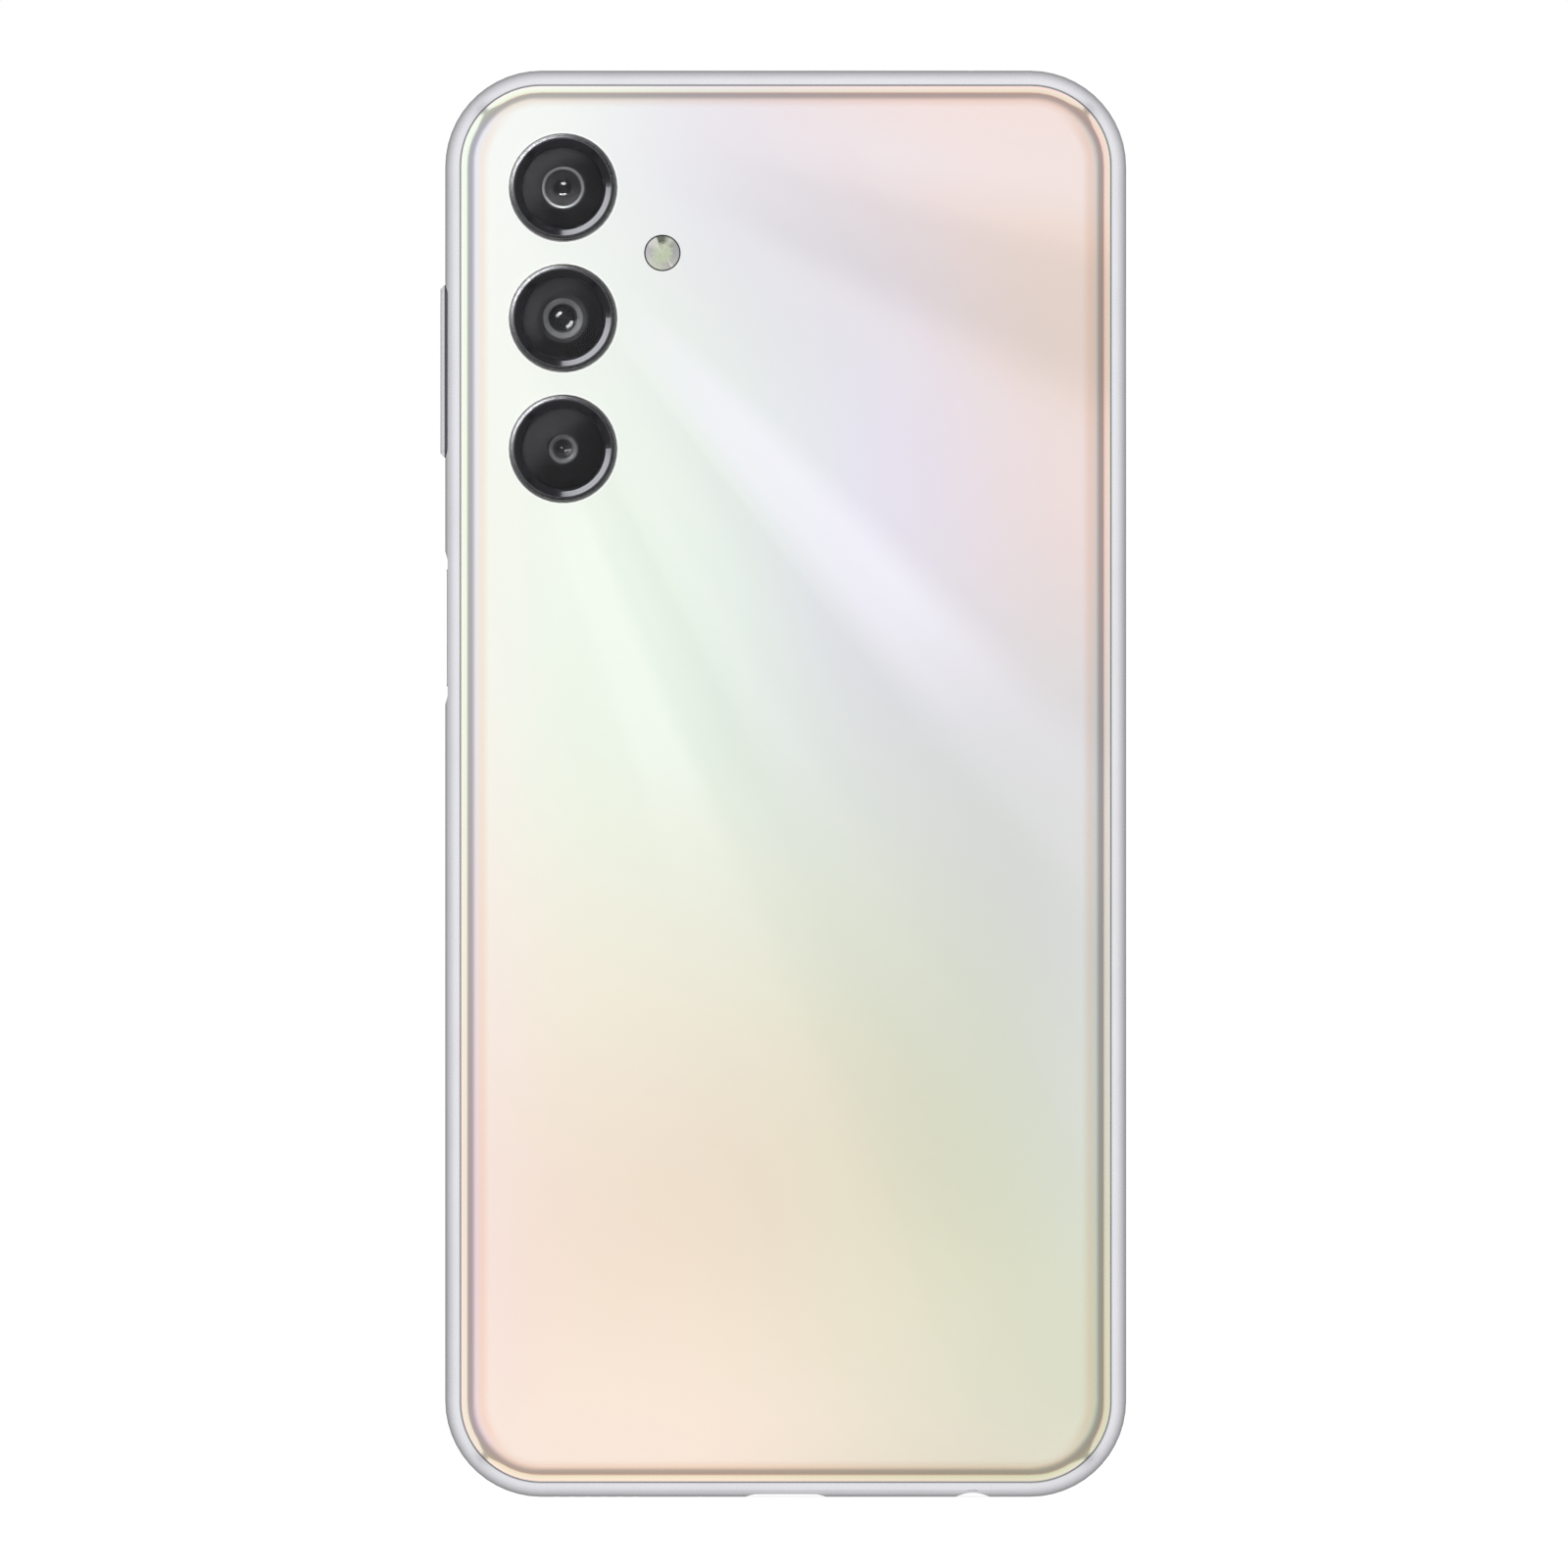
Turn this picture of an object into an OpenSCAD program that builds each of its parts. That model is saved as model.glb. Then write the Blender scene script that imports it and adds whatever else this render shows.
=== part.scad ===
// Smartphone with a round-sided frame, three rear cameras and a flat screen.
// World frame: +X to the right seen from the back, +Z up, back cover towards -Y.
// The modules draw lying down, with x across, y up the phone and z out of the
// back cover, and upright() stands each piece on its bottom edge.

/* [Body] */
// Overall width across the side frame
body_w = 77.2; // [72:0.1:96]
// Overall height along the long edge
body_h = 161.7; // [156:0.1:200]
// Thickness from the display glass to the back cover
body_t = 8.8; // [8.6:0.1:11]
// Radius of the outline's corners
corner_r = 10.9; // [9.5:0.1:14]
// How far the flat faces stand beyond the round of the side
face_rise = 0.5; // [0.4:0.05:0.7]
// Thickness of the side wall at its middle
wall_in = 3; // [2.8:0.1:3.4]

/* [Back cover] */
// Thickness of the flat part of the cover
cover_t = 0.8; // [0.6:0.05:1]
// Width of the frame left showing outside the seam
seam_inset = 1.8; // [1.5:0.05:2.1]
// Gap round the cover
seam_gap = 0.05; // [0.03:0.01:0.1]
// Width of the rolled edge of the cover
roll_w = 2.55; // [2:0.05:3.2]
// Depth of the cover from its flat to the land that is glued
cover_rim_h = 1.5; // [1.35:0.05:1.7]
// Width of the glued land
land_w = 1.3; // [1:0.05:1.6]
// Thickness of the cover adhesive
cover_glue_t = 0.15; // [0.1:0.01:0.2]

/* [Display] */
// Thickness of the display glass
glass_t = 0.75; // [0.6:0.05:0.9]
// Radius round the edge of the display glass
glass_edge_r = 0.5; // [0.3:0.05:0.55]
// Thickness of the display panel
panel_t = 0.8; // [0.6:0.05:1]
// Gap between the side frame and the display panel
panel_gap = 0.7; // [0.4:0.05:1.2]
// Extra gap below the panel, for its driver
panel_chin = 1.4; // [0.6:0.1:3]
// Width of the trim lip round the glass
trim_w = 0.3; // [0.25:0.05:0.4]
// How far the glass stands above the trim lip
glass_proud = 0.25; // [0.15:0.05:0.35]
// Thickness of the trim flange under the glass
trim_flange_t = 0.25; // [0.2:0.05:0.3]
// Thickness of the display adhesive
display_glue_t = 0.1; // [0.05:0.01:0.15]

/* [Mid plate] */
// Thickness of the mid plate
plate_t = 0.7; // [0.5:0.05:0.9]
// Gap between the panel and the mid plate
plate_gap = 0.1; // [0.05:0.01:0.2]

/* [Rear cameras] */
// Outer radius of a camera ring
ring_r = 6.1; // [5.8:0.05:7.4]
// Distance from the key side to the camera rings
ring_side = 7.31; // [6.5:0.01:9]
// Distance from the top to the upper camera ring
ring_top = 7.3; // [6.5:0.01:9]
// Gap between neighbouring camera rings
ring_spacing = 2.58; // [2:0.01:3.2]
// Height of a camera ring above the cover
ring_rise = 1.5; // [1.2:0.05:2]
// Radius of the round on the ring's outer corner
ring_round = 0.5; // [0.2:0.05:0.5]
// Width of the flat on top of a ring
ring_land = 0.15; // [0.1:0.05:0.4]
// Width of the chamfer inside a ring
ring_chamfer = 0.6; // [0.4:0.05:0.6]
// Width of the flange that holds a ring under the cover
ring_flange = 0.8; // [0.5:0.05:0.9]
// Thickness of a camera window
window_t = 0.6; // [0.4:0.05:0.8]
// Travel of the main camera's lens barrel
focus_travel = 0.3; // [0.2:0.05:0.4]

/* [Flash] */
// Distance of the flash's middle from the camera rings
flash_dx = 5.14; // [4.5:0.01:7]
// Distance of the flash below the upper camera
flash_dy = 7.4; // [4:0.1:10]
// Radius of the flash lens
flash_r = 2; // [1.6:0.05:2.4]

/* [Keys] */
// Distance of the volume key's middle from the top
volume_top = 34.1; // [32:0.1:38]
// Length of the volume key
volume_len = 19.6; // [16:0.1:22]
// How far the volume key stands out of the frame
volume_proud = 0.55; // [0.4:0.05:0.8]
// Distance of the power key's middle from the top
power_top = 63.2; // [58:0.1:70]
// Length of the power key
power_len = 14.1; // [12:0.1:16]
// How far the power key's face lies inside the frame's outline
power_sunk = 0.15; // [0.05:0.05:0.25]
// Width of both keys across the phone's thickness
key_w = 2.4; // [2:0.1:2.6]
// Depth of the dip round the power key
dip_depth = 0.3; // [0.2:0.05:0.4]
// Length of the floor of that dip
dip_len = 15.4; // [14:0.1:18]
// Clearance round a key
key_gap = 0.12; // [0.1:0.01:0.2]

/* [SIM tray] */
// Distance of the tray's middle from the top
sim_top = 31; // [28:0.1:40]
// Height of the tray's face
tray_face_h = 2.1; // [1.9:0.05:2.2]
// Width of the tray's blade
tray_w = 12; // [11:0.1:14.5]
// How far the tray's face reaches past the blade
tray_face_margin = 1.15; // [1.1:0.05:1.6]
// Length of the tray's blade
tray_len = 30; // [26:0.5:32]
// Thickness of the tray's blade
tray_t = 0.9; // [0.7:0.05:1]
// Radius of the hole for the ejector pin
pin_hole_r = 0.55; // [0.5:0.01:0.6]
// Distance of that hole from the blade
pin_offset = 2.2; // [2.1:0.05:2.6]
// Distance of that hole from the end of the tray's face
pin_margin = 1.75; // [1.2:0.05:2]
// Stroke of the ejector rod
eject_stroke = 1.6; // [1:0.1:1.7]

/* [Bottom edge] */
// Distance of the headphone jack from the middle
jack_x = 21.2; // [19:0.1:22]
// Radius of the headphone jack's bore
jack_bore_r = 1.77; // [1.7:0.01:1.85]
// Depth of the headphone jack's bore
jack_depth = 14; // [12:0.5:15]
// Distance of the loudspeaker holes' middle from the middle of the edge
speaker_x = -21.5; // [-24:0.1:-20]
// Number of loudspeaker holes
speaker_holes = 6; // [3:1:7]
// Spacing of the loudspeaker holes
speaker_pitch = 1.78; // [1.5:0.01:1.9]
// Radius of a loudspeaker hole
speaker_hole_r = 0.55; // [0.4:0.05:0.6]
// Position of the lower microphone hole
mic_x = -9.66; // [-10:0.01:-8.5]
// Radius of a microphone hole
mic_hole_r = 0.45; // [0.3:0.05:0.5]
// Position of the upper microphone hole
top_mic_x = 21; // [20:0.5:23]

/* [Battery] */
// Distance of the battery from the bottom edge
battery_low = 30; // [29.5:0.5:34]
// Gap between the battery and the mid plate's middle strip, each side
battery_side = 3; // [2.6:0.1:8]
// Thickness of the battery
battery_t = 4.6; // [3.5:0.1:4.7]
// Gap between the battery and the main board
battery_top_gap = 2.5; // [2.2:0.1:4]

/* [Boards] */
// Thickness of both circuit boards
board_t = 0.8; // [0.6:0.05:0.9]
// Length of the main board up the phone
board_len = 55.6; // [54:0.1:60]
// Length of the sub board up the phone
sub_board_top = 25; // [24:0.1:26]

/* [Hidden] */
$fn = 48;
overlap = 0.01;
reach = 20;

// Levels, measured out of the back from the middle of the thickness
back_z = body_t / 2;
front_z = -body_t / 2;
side_r = body_t / 2 - face_rise;
seam_z = sqrt(side_r * side_r - (side_r - seam_inset) * (side_r - seam_inset));
cover_in_z = back_z - cover_t;
cover_land_z = back_z - cover_rim_h;
cover_ledge_z = cover_land_z - cover_glue_t;
glass_in_z = front_z + glass_t;
trim_top_z = glass_in_z + display_glue_t;
display_ledge_z = trim_top_z + trim_flange_t;
panel_in_z = glass_in_z + panel_t;
plate_out_z = panel_in_z + plate_gap;
plate_in_z = plate_out_z + plate_t;

// Inner faces of the side frame
left_x = -body_w / 2;
right_x = body_w / 2;
wall_left = left_x + wall_in;
wall_right = right_x - wall_in;
wall_top = body_h - wall_in;

// Back cover
cover_edge = seam_inset + seam_gap;
roll_drop = back_z - seam_z;
roll_r = (roll_w * roll_w + roll_drop * roll_drop) / (2 * roll_drop);
land_end = cover_edge + 0.4 + land_w;
rib_edge = max(wall_in, land_end + 0.1);
bracket_inset = rib_edge + 0.15;
ledge_rib_h = 0.6;

// Display
trim_edge = side_r - sqrt(side_r * side_r - display_ledge_z * display_ledge_z) + 0.03;
glass_edge = trim_edge + trim_w + seam_gap;
ear_slot_len = 11;
ear_slot_w = 0.8;
ear_speaker_lo = [5.5, wall_top - 7.2];
ear_speaker_size = [12, 6, 2.4];
light_sensor_lo = [-9.8, wall_top - 4.8];
light_sensor_size = [3, 2];
front_cam_r = 1.9;
front_cam_w = 6.4;
front_cam_y = wall_top - front_cam_w / 2 - 0.1;
notch_r = front_cam_r + 0.5;

// Cameras
cam_pitch = 2 * ring_r + ring_spacing;
cam_x = left_x + ring_side + ring_r;
cam_y = body_h - ring_top - ring_r;
ring_top_z = back_z + ring_rise;
ring_bore_r = ring_r - ring_round - ring_land - ring_chamfer;
ring_flange_t = 0.5;
window_gap = 0.05;
ring_chamfer_h = 0.5;
window_top_z = ring_top_z - ring_chamfer_h - 0.1;
window_in_z = window_top_z - window_t;
window_land = 0.65;
cam_body_w = 9.6;
cam_body_top = cover_in_z - 1.4;
cam_holder_r = ring_bore_r - window_land - 0.2;
cam_holder_top = window_in_z - 0.35;
barrel_r = 3.1;
barrel_gap = 0.05;
barrel_recess_r = [2.3, 1.6];
barrel_recess_h = [0.4, 0.9];
holder_recess_h = [0.6, 1.2];
lens_throat = 0.6;
ultrawide_w = 8.6;
ultrawide_lens_r = 2.4;
macro_w = 7.4;
macro_lens_r = 1.7;
cam_floor_gap = 0.05;
barrel_h = 3.6;
barrel_low_z = cam_holder_top - barrel_h - focus_travel;
flash_x = cam_x + ring_r + flash_dx;
flash_y = cam_y - flash_dy;
flash_flange = 0.6;
flash_gap = 0.07;
flash_led_w = 2.2;

// Keys, all at the middle of the thickness
volume_y = body_h - volume_top;
power_y = body_h - power_top;
key_pocket_x = left_x + 1.7;
key_flange_x = left_x + 2.1;
key_flange_t = 0.5;
key_flange = 0.5;
key_nub_h = 0.25;
key_nub_r = 0.7;
key_pivot_x = left_x + 1.2;
volume_dome_dy = 6.5;
dome_x = wall_left + 0.2;
dome_h = 0.45;
dome_r = 1.5;
dome_ball_r = 2.6;
key_flex_x = wall_left + 0.65;
key_flex_t = 0.15;
key_plate_t = 0.3;
key_strip_w = 3.6;
sensor_t = 0.35;
sensor_margin = 0.55;
sensor_side = 0.3;
sensor_fit = 0.06;

// Boards
board_z = plate_in_z + 2.25;
board_back_z = board_z + board_t;
board_edge = 0.6;
board_low = wall_top - board_len;
board_left = cam_x + cam_body_w / 2 + 0.8;
board_arm_top = cam_y - 2 * cam_pitch - cam_body_w / 2 - 1;
board_arm_left = wall_left + 1.4;
can_h = 1.2;
can_wall = 0.2;
can_lo = [board_left + 8.8, board_low + 7.4];
can_hi = [wall_right - 8.2, board_low + 45.6];
bracket_z = board_back_z + can_h + 0.1;
bracket_t = 0.6;
sub_z = -board_t / 2;
lower_bracket_z = cover_in_z - 0.85;
lower_bracket_t = 0.45;

// Battery
battery_z = plate_in_z + 0.15;
battery_x = wall_right - battery_side;
battery_top = board_low - battery_top_gap;
main_flex_z = battery_z + battery_t + 0.05;
main_flex_x = 3;
flex_t = 0.15;
connector_h = 0.8;
main_flex_w = 10;
plug_low = 2;
plug_high = 4.6;
battery_flex_x = [-12.5, -5.5];
display_flex_x = [-25.8, -16.2];
display_flex_y = battery_top + 1.2;
plug_inset = 0.8;

// SIM tray and its ejector
sim_y = body_h - sim_top;
tray_z = board_z - 0.85;
tray_head_t = 1.6;
tray_head_x = right_x - tray_head_t;
tray_gap = 0.1;
tray_pockets = [[1, 13], [14.6, 26.4]];
tray_rim = 1.2;
tray_floor = 0.25;
tray_tail_x = tray_head_x - tray_len;
tray_seal_w = tray_w + 1;
tray_seal_h = tray_t + 1;
pin_y = sim_y - tray_w / 2 - pin_offset;
tray_face_high = sim_y + tray_w / 2 + tray_face_margin;
tray_face_low = pin_y - pin_margin;
tray_face_len = tray_face_high - tray_face_low;
tray_face_y = (tray_face_high + tray_face_low) / 2;
pin_frame_margin = 0.25;
rod_r = 0.45;
rod_end_gap = 0.3;
lever_w = 1;
lever_t = 0.5;
lever_arm = 3.5;
lever_pin_r = 0.5;
lever_fit = 0.05;
lever_clear = 0.5;
lever_x = tray_tail_x - lever_clear - eject_stroke - lever_w / 2;
lever_y = pin_y + lever_arm;
rod_contact_gap = 0.45;
rod_tip_x = lever_x + lever_w / 2 + rod_contact_gap;
socket_sheet = 0.2;
socket_top_z = board_z - 1.65;
socket_base_z = board_z - 0.25;
socket_mouth_x = wall_right - 0.6;

// Bottom edge
usb_w = 8.94;
usb_h = 3.2;
usb_wall = 0.3;
usb_mouth_y = 0.35;
usb_len = 7.85;
usb_gap = 0.13;
usb_back_t = 0.6;
tongue_w = 6.69;
tongue_t = 0.7;
jack_nose_r = 2.4;
jack_nose_gap = 0.08;
jack_mouth_y = 0.9;
jack_body_w = 6.4;
jack_body_h = 5.2;
jack_end_y = jack_mouth_y + jack_depth;
jack_end_t = 0.6;
box_left = wall_left + 0.4;
box_right = mic_x - 2.6;
box_top_y = 24.4;
box_low_y = wall_in + 0.1;
box_z = plate_in_z + 0.05;
lid_t = 0.3;
box_h = cover_ledge_z - ledge_rib_h - 0.1 - lid_t - box_z;
box_wall = 0.6;
driver_size = [15, 11, 2.8];
mesh_t = 0.15;
mic_size = [3.4, 2.6, 1];
motor_r = 4;
motor_h = 2.8;
motor_wall = 0.25;
motor_x = wall_right - motor_r - 2;
motor_y = wall_in + motor_r + 6;
motor_z = plate_in_z + 0.1;
motor_pin_r = 0.5;
motor_fit = 0.04;
weight_r = 3.4;
weight_h = 1.5;
weight_gap = 0.4;

// Screws
screw_r = 0.65;
screw_fit = 0.03;
screw_hole_r = 0.85;
screw_head_r = 1.25;
screw_head_h = 0.35;
boss_r = 1.7;
boss_floor = 0.25;
upper_screws = [
  [board_left + 4, wall_top - 4.4],
  [wall_right - 12.4, wall_top - 3.9],
  [wall_right - 4.4, wall_top - 13.2],
  [wall_right - 4.4, board_low + 10.4],
  [-1.5, board_low + 3.4],
  [wall_left + 5, board_low + 3.7],
  [board_left + 4.4, board_low + 20]
];
strip_y = (sub_board_top + battery_low) / 2 - 0.3;
strip_screws = [
  [wall_left + 4.6, strip_y],
  [-10, strip_y],
  [18, strip_y],
  [wall_right - 4.6, strip_y]
];
board_screws = [[-7.4, 12.5], [13.5, 12.5]];

// Stands a piece that was drawn lying down on its bottom edge
module upright() {
  rotate([90, 0, 0])
    children();
}

// Box between two corners
module block(lo, hi) {
  translate(lo)
    cube(hi - lo);
}

// Upright pin or hole in a lying piece
module post(at, z_lo, z_hi, r) {
  translate([at[0], at[1], z_lo])
    cylinder(h = z_hi - z_lo, r = r);
}

// Outline of the phone, drawn in by a distance
module outline(inset) {
  r = corner_r - inset;
  square_w = body_w - 2 * corner_r;
  square_h = body_h - 2 * corner_r;
  translate([0, body_h / 2]) {
    square([body_w - 2 * inset, square_h], center = true);
    square([square_w, body_h - 2 * inset], center = true);
    for (side = [-1, 1], end = [-1, 1])
      translate([side * square_w / 2, end * square_h / 2])
        circle(r = r);
  }
}

// Plate that follows the outline
module outline_plate(inset, z_lo, z_hi) {
  translate([0, 0, z_lo])
    linear_extrude(z_hi - z_lo)
      outline(inset);
}

// Part of such a plate between two heights
module plate_between(inset, y_lo, y_hi, z_lo, z_hi) {
  intersection() {
    outline_plate(inset, z_lo, z_hi);
    block([-body_w, y_lo, z_lo - 1], [body_w, y_hi, z_hi + 1]);
  }
}

// Carries a profile of distance inwards and level once round the phone
module round_the_edge() {
  translate([0, body_h / 2, 0])
    for (turn = [0 : 3]) {
      along = turn % 2 == 0 ? body_w : body_h;
      across = turn % 2 == 0 ? body_h : body_w;
      rotate([0, 0, 90 * turn]) {
        translate([corner_r - along / 2, -across / 2, 0])
          rotate([90, 0, 90])
            linear_extrude(along - 2 * corner_r)
              children();
        translate([along / 2 - corner_r, corner_r - across / 2, 0])
          rotate([0, 0, -90])
            rotate_extrude(angle = 90)
              translate([corner_r, 0])
                mirror([1, 0])
                  children();
      }
    }
}

// Slot with round ends, long side up the phone, cut or grown along x
module side_slot(y, z, len, high, x_lo, x_hi) {
  translate([x_lo, y, z])
    rotate([90, 0, 90])
      linear_extrude(x_hi - x_lo)
        stadium(len, high);
}

// Slot with round ends, long side across the phone, cut or grown along y
module end_slot(x, z, len, high, y_lo, y_hi) {
  translate([x, y_hi, z])
    rotate([90, 0, 0])
      linear_extrude(y_hi - y_lo)
        stadium(len, high);
}

// Flat shape with two straight sides and two round ends
module stadium(len, high) {
  square([len - high, high], center = true);
  for (end = [-1, 1])
    translate([end * (len - high) / 2, 0])
      circle(d = high);
}

// Round hole or pin along x
module side_post(y, z, r, x_lo, x_hi) {
  translate([x_lo, y, z])
    rotate([0, 90, 0])
      cylinder(h = x_hi - x_lo, r = r);
}

// Round hole or pin along y
module end_post(x, z, r, y_lo, y_hi) {
  translate([x, y_hi, z])
    rotate([90, 0, 0])
      cylinder(h = y_hi - y_lo, r = r);
}

// Cross section of the side frame: round outside, a seat for the cover behind
// and a ledge for the display trim in front
module frame_profile() {
  difference() {
    intersection() {
      translate([side_r, 0])
        circle(r = side_r, $fn = 96);
      translate([0, display_ledge_z])
        square([wall_in, seam_z - display_ledge_z]);
    }
    translate([seam_inset, cover_ledge_z])
      square([wall_in, seam_z]);
  }
  translate([wall_in - overlap, cover_ledge_z - ledge_rib_h])
    square([rib_edge - wall_in + overlap, ledge_rib_h]);
}

// Row of loudspeaker holes
module speaker_row(r, y_lo, y_hi) {
  for (i = [0 : speaker_holes - 1])
    end_post(speaker_x + (i - (speaker_holes - 1) / 2) * speaker_pitch, 0, r, y_lo, y_hi);
}

module side_frame() {
  color("gainsboro")
    upright()
      difference() {
        round_the_edge()
          frame_profile();
        key_cuts();
        sim_cuts();
        bottom_cuts();
        end_post(top_mic_x, 0, mic_hole_r, wall_top - 1, body_h + 1);
        ear_duct();
      }
}

// Openings for both keys, their pockets and the dip round the power key
module key_cuts() {
  for (key = [[volume_y, volume_len], [power_y, power_len]]) {
    side_slot(key[0], 0, key[1] + 2 * key_gap, key_w + 2 * key_gap, left_x - 2, key_pocket_x + 1);
    block([key_pocket_x, key[0] - key[1] / 2 - key_flange - 0.3, -key_w / 2 - key_flange - 0.3],
      [wall_left + 1, key[0] + key[1] / 2 + key_flange + 0.3, key_w / 2 + key_flange + 0.3]);
  }
  translate([left_x, power_y, -reach / 2])
    linear_extrude(reach)
      polygon([[-1, -dip_len / 2 - 4], [-1, dip_len / 2 + 4], [0, dip_len / 2 + 1],
        [dip_depth, dip_len / 2], [dip_depth, -dip_len / 2], [0, -dip_len / 2 - 1]]);
}

// Openings for the SIM tray's face and blade, and for the ejector pin
module sim_cuts() {
  side_slot(tray_face_y, tray_z, tray_face_len + 2 * tray_gap, tray_face_h + 2 * tray_gap,
    tray_head_x, right_x + 1);
  side_slot(sim_y, tray_z, tray_seal_w + 2 * tray_gap, tray_seal_h + 2 * tray_gap,
    wall_right - 1, tray_head_x + 1);
  side_post(pin_y, tray_z, pin_hole_r + pin_frame_margin, wall_right - 1, tray_head_x + 1);
}

// Openings in the bottom edge
module bottom_cuts() {
  end_slot(0, 0, usb_w + 2 * usb_gap, usb_h + 2 * usb_gap, -1, wall_in + 1);
  end_post(jack_x, 0, jack_bore_r + 0.2, -1, jack_mouth_y);
  end_post(jack_x, 0, jack_nose_r + jack_nose_gap, jack_mouth_y - 0.1, wall_in + 1);
  speaker_row(speaker_hole_r, -1, wall_in);
  block([speaker_x - 5.8, wall_in - 0.6, -1.5], [speaker_x + 5.8, wall_in + 1, 1.5]);
  end_post(mic_x, 0, mic_hole_r, -1, wall_in + 1);
}

// Sound path from the earpiece to the slot in the glass
module ear_duct() {
  block([-ear_slot_len / 2 + 0.5, wall_top - 1, display_ledge_z - 1],
    [ear_slot_len / 2 - 0.5, wall_top + 0.7, plate_in_z]);
}

module mid_plate() {
  color("darkgray")
    upright()
      difference() {
        union() {
          outline_plate(wall_in, plate_out_z, plate_in_z);
          for (at = upper_screws)
            post(at, plate_in_z - overlap, board_z, boss_r);
          for (at = strip_screws)
            post(at, plate_in_z - overlap, lower_bracket_z, boss_r);
          for (at = board_screws)
            post(at, plate_in_z - overlap, sub_z, boss_r);
        }
        for (at = concat(upper_screws, strip_screws, board_screws))
          post(at, plate_out_z + boss_floor, back_z, screw_r + screw_fit);
        post([0, front_cam_y], plate_out_z - 1, plate_in_z + 1, front_cam_r + 0.3);
        block([ear_speaker_lo[0] + 1.5, ear_speaker_lo[1] + 1.2, plate_out_z - 1],
          [ear_speaker_lo[0] + ear_speaker_size[0] - 1.5, ear_speaker_lo[1] + 5.2, plate_in_z + 1]);
        block([light_sensor_lo[0] - 0.2, light_sensor_lo[1] - 0.2, plate_out_z - 1],
          [light_sensor_lo[0] + light_sensor_size[0] + 0.2, light_sensor_lo[1] + light_sensor_size[1] + 0.2,
            plate_in_z + 1]);
        block([display_flex_x[0] - 0.4, display_flex_y - 0.2, plate_out_z - 1],
          [display_flex_x[1] + 0.4, display_flex_y + 0.6, plate_in_z + 1]);
        block([jack_x - jack_body_w / 2 - 0.2, wall_in - 1, plate_out_z - 1],
          [jack_x + jack_body_w / 2 + 0.2, jack_end_y + jack_end_t + 0.2, plate_in_z + 1]);
        block([-ear_slot_len / 2 + 0.5, wall_top - 0.9, plate_out_z - 1],
          [ear_slot_len / 2 - 0.5, wall_top + 1, plate_in_z + 1]);
      }
}

// Cross section of the cover: rolled outside, with a thicker land that is glued
module cover_profile() {
  difference() {
    union() {
      intersection() {
        translate([cover_edge + roll_w, back_z - roll_r])
          circle(r = roll_r, $fn = 96);
        translate([cover_edge, cover_land_z])
          square([roll_w, cover_rim_h]);
      }
      translate([cover_edge + roll_w, cover_land_z])
        square([corner_r - cover_edge - roll_w, cover_rim_h]);
    }
    translate([land_end, cover_land_z - 1])
      square([corner_r, cover_in_z - cover_land_z + 1]);
  }
}

module back_cover() {
  color("lavender")
    upright()
      difference() {
        union() {
          round_the_edge()
            cover_profile();
          translate([-body_w / 2 + corner_r, corner_r, cover_in_z])
            cube([body_w - 2 * corner_r, body_h - 2 * corner_r, cover_t]);
        }
        for (i = [0 : 2])
          post([cam_x, cam_y - i * cam_pitch], cover_in_z - 1, back_z + 1, ring_r + window_gap);
        post([flash_x, flash_y], cover_in_z - 1, back_z + 1, flash_r + flash_gap);
      }
}

module back_cover_adhesive() {
  color("dimgray")
    upright()
      difference() {
        outline_plate(cover_edge + 0.5, cover_ledge_z, cover_land_z);
        outline_plate(land_end - 0.1, cover_ledge_z - 1, cover_land_z + 1);
      }
}

// Flat glass with a rounded front edge and a slot for the earpiece
module display_glass() {
  color("black")
    upright()
      difference() {
        union() {
          round_the_edge()
            glass_profile();
          translate([-body_w / 2 + corner_r, corner_r, front_z])
            cube([body_w - 2 * corner_r, body_h - 2 * corner_r, glass_t]);
        }
        block([-ear_slot_len / 2, body_h - glass_edge - ear_slot_w, front_z - 1],
          [ear_slot_len / 2, body_h, back_z]);
      }
}

// Cross section of the glass
module glass_profile() {
  translate([glass_edge + glass_edge_r, front_z])
    square([corner_r - glass_edge - glass_edge_r, glass_t]);
  translate([glass_edge, front_z + glass_edge_r])
    square([glass_edge_r, glass_t - glass_edge_r]);
  intersection() {
    translate([glass_edge + glass_edge_r, front_z + glass_edge_r])
      circle(r = glass_edge_r);
    translate([glass_edge, front_z])
      square([glass_edge_r, glass_edge_r]);
  }
}

// Panel with a notch for the front camera
module display_panel() {
  color("black")
    upright()
      difference() {
        intersection() {
          outline_plate(wall_in + panel_gap, glass_in_z, panel_in_z);
          block([-body_w, wall_in + panel_gap + panel_chin, front_z], [body_w, body_h, back_z]);
        }
        post([0, front_cam_y], front_z, back_z, notch_r);
        block([-notch_r, front_cam_y, front_z], [notch_r, body_h, back_z]);
      }
}

// Black trim between the frame and the glass, with a flange that carries the glass
module display_trim() {
  color("black")
    upright()
      difference() {
        outline_plate(trim_edge, front_z + glass_proud, display_ledge_z);
        outline_plate(glass_edge - seam_gap, front_z, trim_top_z);
        outline_plate(wall_in + 0.1, front_z, back_z);
        block([-ear_slot_len / 2 + 0.5, body_h - wall_in - 0.2, front_z],
          [ear_slot_len / 2 - 0.5, body_h - glass_edge - 0.1, back_z]);
      }
}

module display_adhesive() {
  color("dimgray")
    upright()
      difference() {
        outline_plate(glass_edge + 0.05, glass_in_z, trim_top_z);
        outline_plate(wall_in, front_z, back_z);
        block([-ear_slot_len / 2 - 0.2, body_h - wall_in - 0.2, front_z],
          [ear_slot_len / 2 + 0.2, body_h, back_z]);
      }
}

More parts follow.
